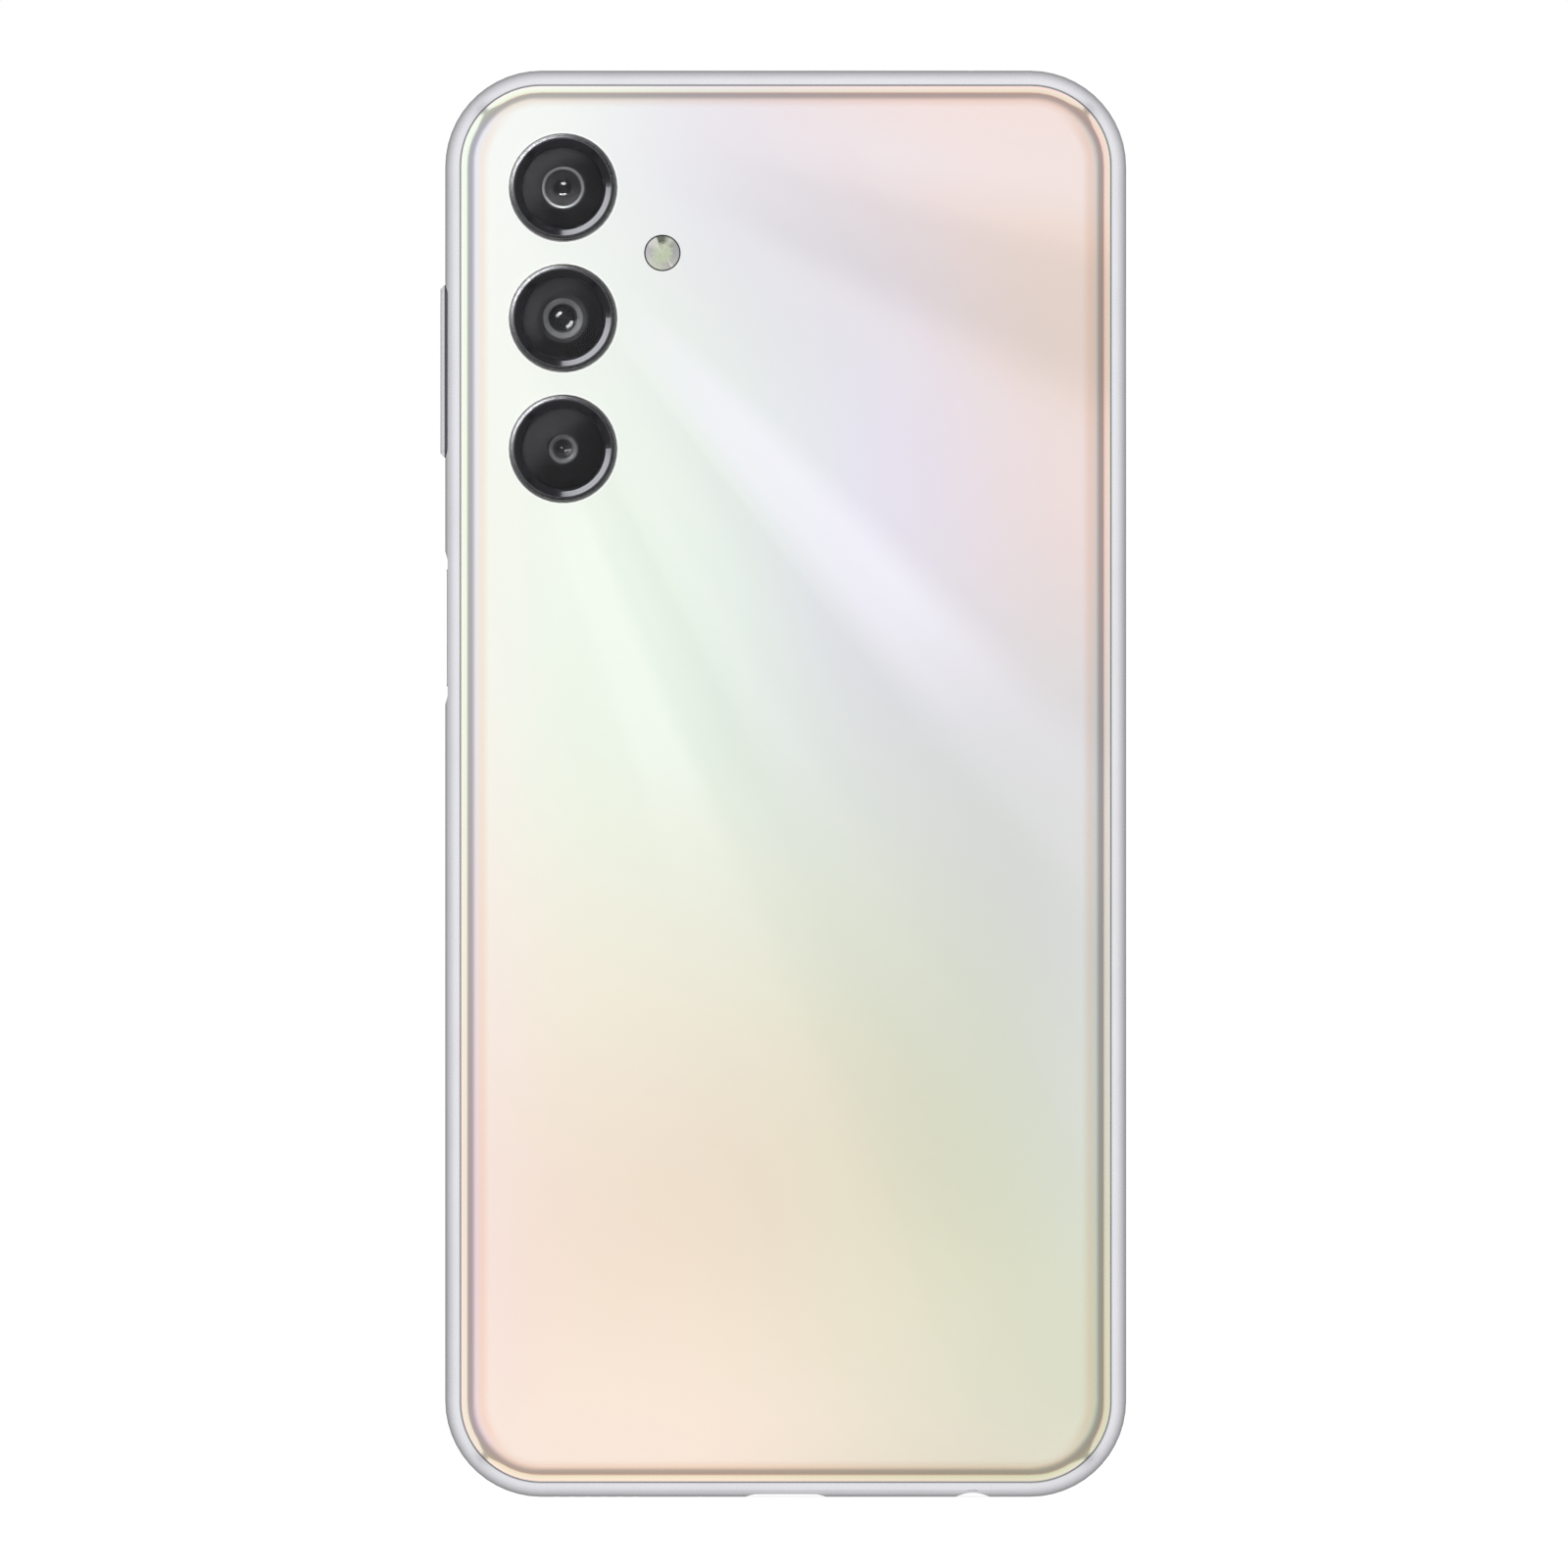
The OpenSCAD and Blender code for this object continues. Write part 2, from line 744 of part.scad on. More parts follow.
// Metal ring that stands through the cover, with a ledge for its window
module camera_ring(i) {
  flange_z = cover_in_z - ring_flange_t;
  upright()
    translate([cam_x, cam_y - i * cam_pitch, 0])
      rotate_extrude($fn = 96) {
        polygon([
          [ring_bore_r - window_land, flange_z],
          [ring_r + ring_flange, flange_z],
          [ring_r + ring_flange, cover_in_z],
          [ring_r, cover_in_z],
          [ring_r, ring_top_z - ring_round],
          [ring_r - ring_round, ring_top_z - ring_round],
          [ring_r - ring_round, ring_top_z],
          [ring_r - ring_round - ring_land, ring_top_z],
          [ring_bore_r, ring_top_z - ring_chamfer_h],
          [ring_bore_r, window_in_z],
          [ring_bore_r - window_land, window_in_z]
        ]);
        intersection() {
          translate([ring_r - ring_round, ring_top_z - ring_round])
            circle(r = ring_round);
          translate([ring_r - ring_round, ring_top_z - ring_round])
            square(ring_round);
        }
      }
}

module camera_ring_upper() {
  color("slategray")
    camera_ring(0);
}

module camera_ring_middle() {
  color("slategray")
    camera_ring(1);
}

module camera_ring_lower() {
  color("slategray")
    camera_ring(2);
}

// Clear disc on the ring's ledge
module camera_window(i) {
  upright()
    post([cam_x, cam_y - i * cam_pitch], window_in_z, window_top_z, ring_bore_r - window_gap);
}

module camera_window_upper() {
  color("black")
    camera_window(0);
}

module camera_window_middle() {
  color("black")
    camera_window(1);
}

module camera_window_lower() {
  color("black")
    camera_window(2);
}

// Sensor housing with a round lens holder, the lens recessed in its front
module fixed_camera(i, body, lens_r) {
  at = [cam_x, cam_y - i * cam_pitch];
  upright()
    difference() {
      union() {
        block([at[0] - body / 2, at[1] - body / 2, plate_in_z + cam_floor_gap],
          [at[0] + body / 2, at[1] + body / 2, cam_body_top]);
        post(at, cam_body_top - overlap, cam_holder_top, cam_holder_r);
      }
      post(at, cam_holder_top - holder_recess_h[0], cam_holder_top + 1, lens_r);
      post(at, cam_holder_top - holder_recess_h[1], cam_holder_top, lens_r * lens_throat);
    }
}

module ultrawide_camera() {
  color("dimgray")
    fixed_camera(0, ultrawide_w, ultrawide_lens_r);
}

module macro_camera() {
  color("dimgray")
    fixed_camera(2, macro_w, macro_lens_r);
}

// Housing whose bore guides the focusing barrel
module main_camera() {
  at = [cam_x, cam_y - cam_pitch];
  color("dimgray")
    upright()
      difference() {
        union() {
          block([at[0] - cam_body_w / 2, at[1] - cam_body_w / 2, plate_in_z + cam_floor_gap],
            [at[0] + cam_body_w / 2, at[1] + cam_body_w / 2, cam_body_top]);
          post(at, cam_body_top - overlap, cam_holder_top - 0.4, cam_holder_r);
        }
        post(at, barrel_low_z - 0.1, back_z, barrel_r + barrel_gap);
      }
}

// Barrel that slides out of the back to focus
module main_lens_barrel() {
  at = [cam_x, cam_y - cam_pitch];
  color("black")
    upright()
      difference() {
        post(at, barrel_low_z, barrel_low_z + barrel_h, barrel_r);
        post(at, barrel_low_z + barrel_h - barrel_recess_h[0], back_z + 1, barrel_recess_r[0]);
        post(at, barrel_low_z + barrel_h - barrel_recess_h[1], back_z, barrel_recess_r[1]);
      }
}

module flash_lens() {
  color("ivory")
    upright() {
      post([flash_x, flash_y], cover_in_z - 0.4, cover_in_z, flash_r + flash_flange);
      post([flash_x, flash_y], cover_in_z - overlap, back_z - 0.05, flash_r);
    }
}

module flash_led() {
  color("khaki")
    upright()
      block([flash_x - flash_led_w / 2, flash_y - flash_led_w / 2, board_back_z],
        [flash_x + flash_led_w / 2, flash_y + flash_led_w / 2, cover_in_z - 0.6]);
}

module front_camera() {
  color("black")
    upright()
      difference() {
        union() {
          block([-front_cam_w / 2, front_cam_y - front_cam_w / 2, plate_in_z],
            [front_cam_w / 2, front_cam_y + front_cam_w / 2, plate_in_z + 2.9]);
          post([0, front_cam_y], glass_in_z + 0.05, plate_in_z + overlap, front_cam_r);
        }
        post([0, front_cam_y], front_z, glass_in_z + 0.45, 1.1);
      }
}

module earpiece_speaker() {
  color("dimgray")
    upright()
      translate([ear_speaker_lo[0], ear_speaker_lo[1], plate_in_z])
        cube(ear_speaker_size);
}

// Mesh in the slot along the glass's top edge
module earpiece_mesh() {
  color("dimgray")
    upright()
      block([-ear_slot_len / 2 + 0.1, body_h - glass_edge - ear_slot_w + 0.06, front_z + 0.15],
        [ear_slot_len / 2 - 0.1, body_h - glass_edge - 0.06, glass_in_z]);
}

module light_sensor() {
  color("dimgray")
    upright()
      block([light_sensor_lo[0], light_sensor_lo[1], plate_out_z + 0.05],
        [light_sensor_lo[0] + light_sensor_size[0], light_sensor_lo[1] + light_sensor_size[1],
          plate_in_z + 0.5]);
}

// Key with a round-backed face, a flange that keeps it in and a nub for each dome
module key(y, len, face_x, face_r, nubs) {
  taper = 0.5;
  depth = key_flange_x - face_x;
  difference() {
    intersection() {
      side_slot(y, 0, len, key_w, face_x, key_flange_x + overlap);
      translate([left_x + side_r, y + len / 2, 0])
        rotate([90, 0, 0])
          cylinder(h = len, r = face_r);
      translate([face_x, y, -reach / 2])
        linear_extrude(reach)
          polygon([[0, -len / 2 + taper], [taper, -len / 2], [depth + 1, -len / 2],
            [depth + 1, len / 2], [taper, len / 2], [0, len / 2 - taper]]);
    }
    children();
  }
  side_slot(y, 0, len + 2 * key_flange, key_w + 2 * key_flange, key_flange_x, key_flange_x + key_flange_t);
  for (dy = nubs)
    side_post(y + dy, 0, key_nub_r, key_flange_x + key_flange_t - overlap,
      key_flange_x + key_flange_t + key_nub_h);
}

module volume_key() {
  color("gainsboro")
    upright()
      key(volume_y, volume_len, left_x - volume_proud, side_r + volume_proud,
        [-volume_dome_dy, volume_dome_dy]);
}

// Power key with a pocket in its face for the fingerprint sensor
module power_key() {
  face_x = left_x + power_sunk;
  color("silver")
    upright()
      key(power_y, power_len, face_x, side_r - power_sunk, [0])
        side_slot(power_y, 0, power_len - 2 * sensor_margin + sensor_fit,
          key_w - 2 * sensor_side + sensor_fit, face_x - 1, face_x + sensor_t + 0.05);
}

module fingerprint_sensor() {
  face_x = left_x + power_sunk;
  color("gray")
    upright()
      intersection() {
        side_slot(power_y, 0, power_len - 2 * sensor_margin, key_w - 2 * sensor_side,
          face_x, face_x + sensor_t);
        translate([left_x + side_r, power_y + power_len / 2, 0])
          rotate([90, 0, 0])
            cylinder(h = power_len, r = side_r - power_sunk - 0.04);
      }
}

// Snap domes under the two ends of the volume key and under the power key
module key_domes() {
  color("silver")
    upright()
      for (y = [volume_y - volume_dome_dy, volume_y + volume_dome_dy, power_y])
        intersection() {
          side_post(y, 0, dome_r, dome_x, dome_x + dome_h);
          translate([dome_x + dome_ball_r, y, 0])
            sphere(r = dome_ball_r, $fn = 128);
        }
}

// Flexible circuit that carries the domes
module key_flex() {
  y_lo = power_y - power_len / 2 - 1;
  y_hi = volume_y + volume_len / 2 + 1;
  color("sienna")
    upright()
      block([key_flex_x, y_lo, -key_strip_w / 2], [key_flex_x + key_flex_t, y_hi, key_strip_w / 2]);
}

// Stiffener behind the flexible circuit
module key_plate() {
  y_lo = power_y - power_len / 2 - 1.6;
  y_hi = volume_y + volume_len / 2 + 1.6;
  x_lo = key_flex_x + key_flex_t;
  color("silver")
    upright()
      block([x_lo, y_lo, -key_strip_w / 2], [x_lo + key_plate_t, y_hi, key_strip_w / 2]);
}

// Tray with two card pockets and a face that follows the frame
module sim_tray() {
  color("gainsboro")
    upright()
      difference() {
        union() {
          intersection() {
            side_slot(tray_face_y, tray_z, tray_face_len, tray_face_h, tray_head_x + 0.05, right_x + 1);
            translate([right_x - side_r, tray_face_y + tray_face_len / 2, 0])
              rotate([90, 0, 0])
                cylinder(h = tray_face_len, r = side_r);
          }
          block([tray_tail_x, sim_y - tray_w / 2, tray_z - tray_t / 2],
            [tray_head_x + 0.1, sim_y + tray_w / 2, tray_z + tray_t / 2]);
        }
        for (pocket = tray_pockets)
          block([tray_tail_x + pocket[0], sim_y - tray_w / 2 + tray_rim, tray_z - tray_t / 2 + tray_floor],
            [tray_tail_x + pocket[1], sim_y + tray_w / 2 - tray_rim, tray_z + tray_t]);
        side_post(pin_y, tray_z, pin_hole_r, tray_head_x - 1, right_x + 1);
      }
}

// Rubber ring behind the tray's face
module sim_tray_gasket() {
  x_hi = tray_head_x - 0.1;
  color("dimgray")
    upright()
      difference() {
        side_slot(sim_y, tray_z, tray_seal_w, tray_seal_h, x_hi - 0.8, x_hi);
        block([x_hi - 2, sim_y - tray_w / 2, tray_z - tray_t / 2],
          [x_hi + 2, sim_y + tray_w / 2, tray_z + tray_t / 2]);
      }
}

// Sheet cage with a base, channels for the tray and the rod, and the lever's pin
module sim_socket() {
  wall_y = tray_w / 2 + 0.25;
  color("silver")
    upright() {
      difference() {
        block([lever_x - 2.4, pin_y - 1.3, socket_top_z], [socket_mouth_x, sim_y + wall_y + 0.2, board_z]);
        block([lever_x - 4, pin_y - 2, socket_top_z + socket_sheet],
          [tray_tail_x + 0.6, sim_y + wall_y + 1, socket_base_z]);
        block([tray_tail_x - 1, sim_y - wall_y, socket_top_z + socket_sheet],
          [wall_right, sim_y + wall_y, socket_base_z]);
        block([tray_tail_x - 1, pin_y - rod_r - 0.2, socket_top_z + socket_sheet],
          [wall_right, pin_y + rod_r + 0.2, socket_base_z]);
      }
      post([lever_x, lever_y], socket_top_z + overlap, board_z - overlap, lever_pin_r);
    }
}

module sim_ejector_rod() {
  color("silver")
    upright()
      side_post(pin_y, tray_z, rod_r, rod_tip_x, wall_right - rod_end_gap);
}

// Lever that turns the rod's push into a push on the tray's tail
module sim_ejector_lever() {
  color("silver")
    upright()
      difference() {
        union() {
          block([lever_x - lever_w / 2, lever_y - lever_arm, tray_z - lever_t / 2],
            [lever_x + lever_w / 2, lever_y + lever_arm, tray_z + lever_t / 2]);
          for (end = [-1, 1])
            post([lever_x, lever_y + end * lever_arm], tray_z - lever_t / 2, tray_z + lever_t / 2,
              lever_w / 2);
          post([lever_x, lever_y], tray_z - lever_t / 2, tray_z + lever_t / 2, lever_w);
        }
        post([lever_x, lever_y], tray_z - 1, tray_z + 1, lever_pin_r + lever_fit);
      }
}

// L-shaped board beside and below the rear cameras
module main_board() {
  color("darkgreen")
    upright()
      difference() {
        intersection() {
          outline_plate(wall_in + board_edge, board_z, board_back_z);
          union() {
            block([board_left, board_low, board_z], [body_w, body_h, board_back_z]);
            block([board_arm_left, board_low, board_z], [board_left + 1, board_arm_top, board_back_z]);
          }
        }
        block([-4, wall_top - 8, board_z - 1], [18.5, body_h, board_back_z + 1]);
        for (at = upper_screws)
          post(at, board_z - 1, board_back_z + 1, screw_hole_r);
      }
}

module processor() {
  mid = (can_lo + can_hi) / 2;
  color("black")
    upright()
      block([mid[0] - 6.5, mid[1] - 1, board_back_z], [mid[0] + 6.5, mid[1] + 12, board_back_z + 0.85]);
}

// Tinplate lid over the processor
module shield_can() {
  color("silver")
    upright()
      difference() {
        block([can_lo[0], can_lo[1], board_back_z], [can_hi[0], can_hi[1], board_back_z + can_h]);
        block([can_lo[0] + can_wall, can_lo[1] + can_wall, board_back_z - 1],
          [can_hi[0] - can_wall, can_hi[1] - can_wall, board_back_z + can_h - can_wall]);
      }
}

// Plastic antenna carrier over the main board
module upper_bracket() {
  color("dimgray")
    upright()
      difference() {
        union() {
          plate_between(bracket_inset, board_low, body_h, bracket_z, bracket_z + bracket_t);
          for (at = upper_screws)
            post(at, board_back_z, bracket_z + overlap, boss_r);
        }
        for (at = upper_screws)
          post(at, board_back_z - 1, back_z, screw_hole_r);
        block([cam_x - ring_r - 1.2, cam_y - 2 * cam_pitch - ring_r - 1.2, bracket_z - 1],
          [cam_x + ring_r + 1.2, cam_y + ring_r + 1.2, back_z]);
        post([flash_x, flash_y], bracket_z - 1, back_z, flash_r + flash_flange + 0.3);
        block([main_flex_x - 1, board_low - 1, bracket_z - 1],
          [main_flex_x + main_flex_w + 1, board_low + 5.4, back_z]);
        block([wall_left - 1, board_low - 1, bracket_z - 1], [wall_left + 1.4, volume_y + 12, back_z]);
      }
}

// Printed loops of the near-field antenna
module nfc_coil() {
  z_lo = cover_in_z - 0.3;
  color("chocolate")
    upright()
      for (turn = [0 : 3])
        difference() {
          block([-19 + turn * 1.4, board_low - 45 + turn * 1.4, z_lo],
            [19 - turn * 1.4, board_low - 8 - turn * 1.4, z_lo + 0.12]);
          block([-18.2 + turn * 1.4, board_low - 44.2 + turn * 1.4, z_lo - 1],
            [18.2 - turn * 1.4, board_low - 8.8 - turn * 1.4, z_lo + 1]);
        }
}

// Heat spreader on the inside of the cover
module graphite_sheet() {
  color("dimgray")
    upright()
      block([wall_left + 6, battery_low + 4, cover_in_z - 0.1],
        [wall_right - 6, board_arm_top - 4, cover_in_z]);
}

// Pouch cell with rounded long edges
module battery() {
  edge = 1.2;
  color("dimgray")
    upright()
      translate([0, battery_top, battery_z])
        rotate([90, 0, 0])
          linear_extrude(battery_top - battery_low) {
            translate([-battery_x, edge])
              square([2 * battery_x, battery_t - 2 * edge]);
            translate([edge - battery_x, 0])
              square([2 * (battery_x - edge), battery_t]);
            for (side = [-1, 1], level = [edge, battery_t - edge])
              translate([side * (battery_x - edge), level])
                circle(r = edge);
          }
}

// Two pull strips under the battery
module battery_adhesive() {
  color("whitesmoke")
    upright()
      for (side = [-1, 1])
        block([side * battery_x / 2 - 8, battery_low + 3, plate_in_z],
          [side * battery_x / 2 + 8, battery_top - 3, battery_z]);
}

// Flat flexible lead with a plug at its end on the main board
module battery_flex() {
  color("sienna")
    upright() {
      block([battery_flex_x[0], battery_top, board_back_z],
        [battery_flex_x[1], board_low + 5, board_back_z + flex_t]);
      block([battery_flex_x[0] + 0.5, board_low + plug_low, board_back_z + flex_t - overlap],
        [battery_flex_x[1] - 0.5, board_low + plug_high, board_back_z + connector_h]);
    }
}

// Flexible lead over the battery that joins both boards
module main_flex() {
  y_lo = battery_low - 1.7;
  sub_top = sub_z + board_t;
  color("sienna")
    upright() {
      block([main_flex_x, y_lo, main_flex_z],
        [main_flex_x + main_flex_w, board_low + plug_high, main_flex_z + flex_t]);
      block([main_flex_x, y_lo, sub_top],
        [main_flex_x + main_flex_w, y_lo + flex_t, main_flex_z + overlap]);
      block([main_flex_x, sub_board_top - 4, sub_top],
        [main_flex_x + main_flex_w, y_lo + overlap, sub_top + flex_t]);
      block([main_flex_x + 1, sub_board_top - 3.6, sub_top + flex_t - overlap],
        [main_flex_x + main_flex_w - 1, sub_board_top - 1, sub_top + connector_h]);
      block([main_flex_x + 1, board_low + plug_low, board_back_z],
        [main_flex_x + main_flex_w - 1, board_low + plug_high, main_flex_z + overlap]);
    }
}

// Lead from the display through the mid plate to the main board
module display_flex() {
  x = display_flex_x;
  color("sienna")
    upright() {
      block([x[0], display_flex_y, panel_in_z], [x[1], display_flex_y + flex_t, board_back_z + flex_t]);
      block([x[0], display_flex_y, board_back_z], [x[1], board_low + 5, board_back_z + flex_t]);
      block([x[0] + plug_inset, board_low + plug_low, board_back_z + flex_t - overlap],
        [x[1] - plug_inset, board_low + plug_high, board_back_z + connector_h]);
    }
}

// Thin coaxial lead up the side of the battery, with a plug at each end
module coax_cable() {
  x = wall_right - 1.5;
  color("black")
    upright() {
      end_post(x, board_back_z + 0.5, 0.4, sub_board_top - 3, board_low + 4);
      post([x, sub_board_top - 3], sub_z + board_t, board_back_z + 1, 0.85);
      post([x, board_low + 4], board_back_z, board_back_z + 1, 0.85);
    }
}

// Board behind the bottom edge, cut out for the jack and the motor
module sub_board() {
  top = sub_z + board_t;
  arm_x = box_right + 0.5;
  color("darkgreen")
    upright()
      difference() {
        intersection() {
          outline_plate(wall_in + board_edge, sub_z, top);
          union() {
            block([arm_x, wall_in + board_edge, sub_z], [-usb_w / 2 - 0.5, sub_board_top, top]);
            block([arm_x, usb_mouth_y + usb_len + 0.2, sub_z],
              [jack_x - jack_body_w / 2 - 0.5, sub_board_top, top]);
            block([arm_x, motor_y + motor_r + 0.6, sub_z], [body_w, sub_board_top, top]);
          }
        }
        for (at = board_screws)
          post(at, sub_z - 1, top + 1, screw_hole_r);
      }
}

// Drawn steel shell, open at its mouth
module usb_c_shell() {
  color("silver")
    upright()
      difference() {
        end_slot(0, 0, usb_w, usb_h, usb_mouth_y, usb_mouth_y + usb_len);
        end_slot(0, 0, usb_w - 2 * usb_wall, usb_h - 2 * usb_wall, usb_mouth_y - 1,
          usb_mouth_y + usb_len - usb_back_t);
      }
}

// Insulator with the contact tongue
module usb_c_tongue() {
  back_y = usb_mouth_y + usb_len - usb_back_t;
  color("black")
    upright() {
      block([-tongue_w / 2, usb_mouth_y + 0.6, -tongue_t / 2], [tongue_w / 2, back_y, tongue_t / 2]);
      end_slot(0, 0, usb_w - 2 * usb_wall - 0.1, usb_h - 2 * usb_wall - 0.1, back_y - 1.2, back_y);
    }
}

// Socket body with a round nose that reaches into the frame
module headphone_jack() {
  color("black")
    upright()
      difference() {
        union() {
          end_post(jack_x, 0, jack_nose_r, jack_mouth_y + 0.02, wall_in + 1);
          block([jack_x - jack_body_w / 2, wall_in + 0.8, -jack_body_h / 2],
            [jack_x + jack_body_w / 2, jack_end_y + jack_end_t, jack_body_h / 2]);
        }
        end_post(jack_x, 0, jack_bore_r, jack_mouth_y - 1, jack_end_y);
      }
}

// Sound box, open behind, with a mouth towards the row of holes
module loudspeaker_box() {
  color("black")
    upright()
      difference() {
        intersection() {
          outline_plate(wall_in + 0.1, box_z, box_z + box_h);
          block([box_left, box_low_y, box_z], [box_right, box_top_y, box_z + box_h]);
        }
        intersection() {
          outline_plate(wall_in + 0.1 + box_wall, box_z + box_wall, back_z);
          block([box_left + box_wall, box_low_y + box_wall, box_z + box_wall],
            [box_right - box_wall, box_top_y - box_wall, back_z]);
        }
        block([speaker_x - 5, box_low_y - 1, -1.2], [speaker_x + 5, box_low_y + box_wall + 0.1, 1.2]);
      }
}

module loudspeaker_lid() {
  z_lo = box_z + box_h;
  color("black")
    upright()
      intersection() {
        outline_plate(wall_in + 0.1, z_lo, z_lo + lid_t);
        block([box_left, box_low_y, z_lo], [box_right, box_top_y, z_lo + lid_t]);
      }
}

module loudspeaker_driver() {
  x_lo = speaker_x - driver_size[0] / 2;
  y_lo = box_top_y - box_wall - 1 - driver_size[1];
  z_lo = box_z + box_wall;
  color("silver")
    upright()
      block([x_lo, y_lo, z_lo], [x_lo + driver_size[0], y_lo + driver_size[1], z_lo + driver_size[2]]);
}

// Fine mesh behind the row of holes
module speaker_mesh() {
  color("dimgray")
    upright()
      block([speaker_x - 5.7, wall_in - 0.6, -1.4], [speaker_x + 5.7, wall_in - 0.6 + mesh_t, 1.4]);
}

// One microphone on each board
module microphones() {
  sub_top = sub_z + board_t;
  color("silver")
    upright() {
      block([mic_x - mic_size[0] / 2, wall_in + board_edge + 0.2, sub_top],
        [mic_x + mic_size[0] / 2, wall_in + board_edge + 0.2 + mic_size[1], sub_top + mic_size[2]]);
      block([top_mic_x - 0.6 - mic_size[0] / 2, wall_top - 8.6 - mic_size[1], board_z - mic_size[2]],
        [top_mic_x - 0.6 + mic_size[0] / 2, wall_top - 8.6, board_z]);
    }
}

// Plastic cover plate over the sub board and the sound box
module lower_bracket() {
  z_hi = lower_bracket_z + lower_bracket_t;
  color("dimgray")
    upright()
      difference() {
        union() {
          plate_between(bracket_inset, 0, strip_y + 1.8, lower_bracket_z, z_hi);
          for (at = board_screws)
            post(at, sub_z + board_t, lower_bracket_z + overlap, boss_r);
        }
        for (at = concat(strip_screws, board_screws))
          post(at, -back_z, back_z, screw_hole_r);
        block([main_flex_x - 1, battery_low - 2.2, 0], [main_flex_x + 11, battery_low + 2, back_z]);
      }
}

// Coin motor's closed cup with the fixed pin that its weight turns on
module vibration_motor_case() {
  color("silver")
    upright()
      translate([motor_x, motor_y, motor_z])
        rotate_extrude()
          difference() {
            square([motor_r, motor_h]);
            translate([motor_pin_r, motor_wall])
              square([motor_r - motor_wall - motor_pin_r, motor_h - 2 * motor_wall]);
          }
}

// Half disc that shakes the phone as it turns
module vibration_motor_weight() {
  z_lo = motor_z + motor_wall + weight_gap;
  color("goldenrod")
    upright()
      difference() {
        union() {
          intersection() {
            post([motor_x, motor_y], z_lo, z_lo + weight_h, weight_r);
            block([motor_x - motor_r, motor_y, z_lo - 1], [motor_x + motor_r, motor_y + motor_r, z_lo + 3]);
          }
          post([motor_x, motor_y], z_lo, z_lo + weight_h, 1.1);
        }
        post([motor_x, motor_y], z_lo - 1, z_lo + weight_h + 1, motor_pin_r + motor_fit);
      }
}

// Screw with a flat round head
module screw(at, head_z) {
  difference() {
    union() {
      post(at, plate_out_z + boss_floor + 0.2, head_z + overlap, screw_r);
      post(at, head_z, head_z + screw_head_h, screw_head_r);
    }
    for (turn = [0, 90])
      translate([at[0], at[1], head_z + screw_head_h])
        rotate([0, 0, turn])
          cube([1.4, 0.25, 0.4], center = true);
  }
}

module screws() {
  color("silver")
    upright() {
      for (at = upper_screws)
        screw(at, bracket_z + bracket_t);
      for (at = concat(strip_screws, board_screws))
        screw(at, lower_bracket_z + lower_bracket_t);
    }
}

side_frame();
mid_plate();
back_cover();
back_cover_adhesive();
display_glass();
display_panel();
display_trim();
display_adhesive();
camera_ring_upper();
camera_ring_middle();
camera_ring_lower();
camera_window_upper();
camera_window_middle();
camera_window_lower();
ultrawide_camera();
main_camera();
main_lens_barrel();
macro_camera();
flash_lens();
flash_led();
front_camera();
earpiece_speaker();
earpiece_mesh();
light_sensor();
volume_key();
power_key();
fingerprint_sensor();
key_domes();
key_flex();
key_plate();
sim_tray();
sim_tray_gasket();
sim_socket();
sim_ejector_rod();
sim_ejector_lever();
main_board();
processor();
shield_can();
upper_bracket();
nfc_coil();
graphite_sheet();
battery();
battery_adhesive();
battery_flex();
main_flex();
display_flex();
coax_cable();
sub_board();
usb_c_shell();
usb_c_tongue();
headphone_jack();
loudspeaker_box();
loudspeaker_lid();
loudspeaker_driver();
speaker_mesh();
microphones();
lower_bracket();
vibration_motor_case();
vibration_motor_weight();
screws();
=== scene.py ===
"""Looks for the smartphone: materials for every CAD node, lens stacks, flash, front camera, camera and light."""
import math

import bmesh
import bpy
from mathutils import Matrix, Vector


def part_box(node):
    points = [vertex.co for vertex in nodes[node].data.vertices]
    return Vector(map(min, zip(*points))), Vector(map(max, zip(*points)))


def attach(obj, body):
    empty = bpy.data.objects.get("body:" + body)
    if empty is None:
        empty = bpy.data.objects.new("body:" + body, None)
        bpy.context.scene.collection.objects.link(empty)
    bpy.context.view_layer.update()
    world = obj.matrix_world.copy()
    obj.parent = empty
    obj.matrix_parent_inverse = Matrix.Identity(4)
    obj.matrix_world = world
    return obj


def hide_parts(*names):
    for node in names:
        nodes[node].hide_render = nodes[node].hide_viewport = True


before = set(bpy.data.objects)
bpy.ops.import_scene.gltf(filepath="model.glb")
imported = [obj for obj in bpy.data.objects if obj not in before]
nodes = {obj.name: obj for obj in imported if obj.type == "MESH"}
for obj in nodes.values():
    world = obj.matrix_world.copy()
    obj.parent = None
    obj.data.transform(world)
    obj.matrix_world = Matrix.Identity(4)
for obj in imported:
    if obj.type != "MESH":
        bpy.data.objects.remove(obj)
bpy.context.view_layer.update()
scene = bpy.context.scene

MM = 0.001  # metres in a millimetre; the constants below are in millimetres
HALF_W = 38.6  # half the width of the outline
HALF_H = 80.85  # half its height
CORNER_R = 10.9  # its corner radius
BACK_Y = -4.4  # the flat of the back cover
RING_TOP_Y = -5.6  # aim of the lights, at the front of the camera rings


def centre(node):
    """Middle of a node's box seen from the back, as x and z in millimetres."""
    lo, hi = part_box(node)
    return ((lo[0] + hi[0]) / 2 / MM, (lo[2] + hi[2]) / 2 / MM)


RINGS = [centre(f"camera_window_{tag}") for tag in ("upper", "middle", "lower")]
FLASH = centre("flash_lens")
FRONT_CAM = centre("front_camera")
FRONT_CAM_R = 1.6  # opening in the printed border


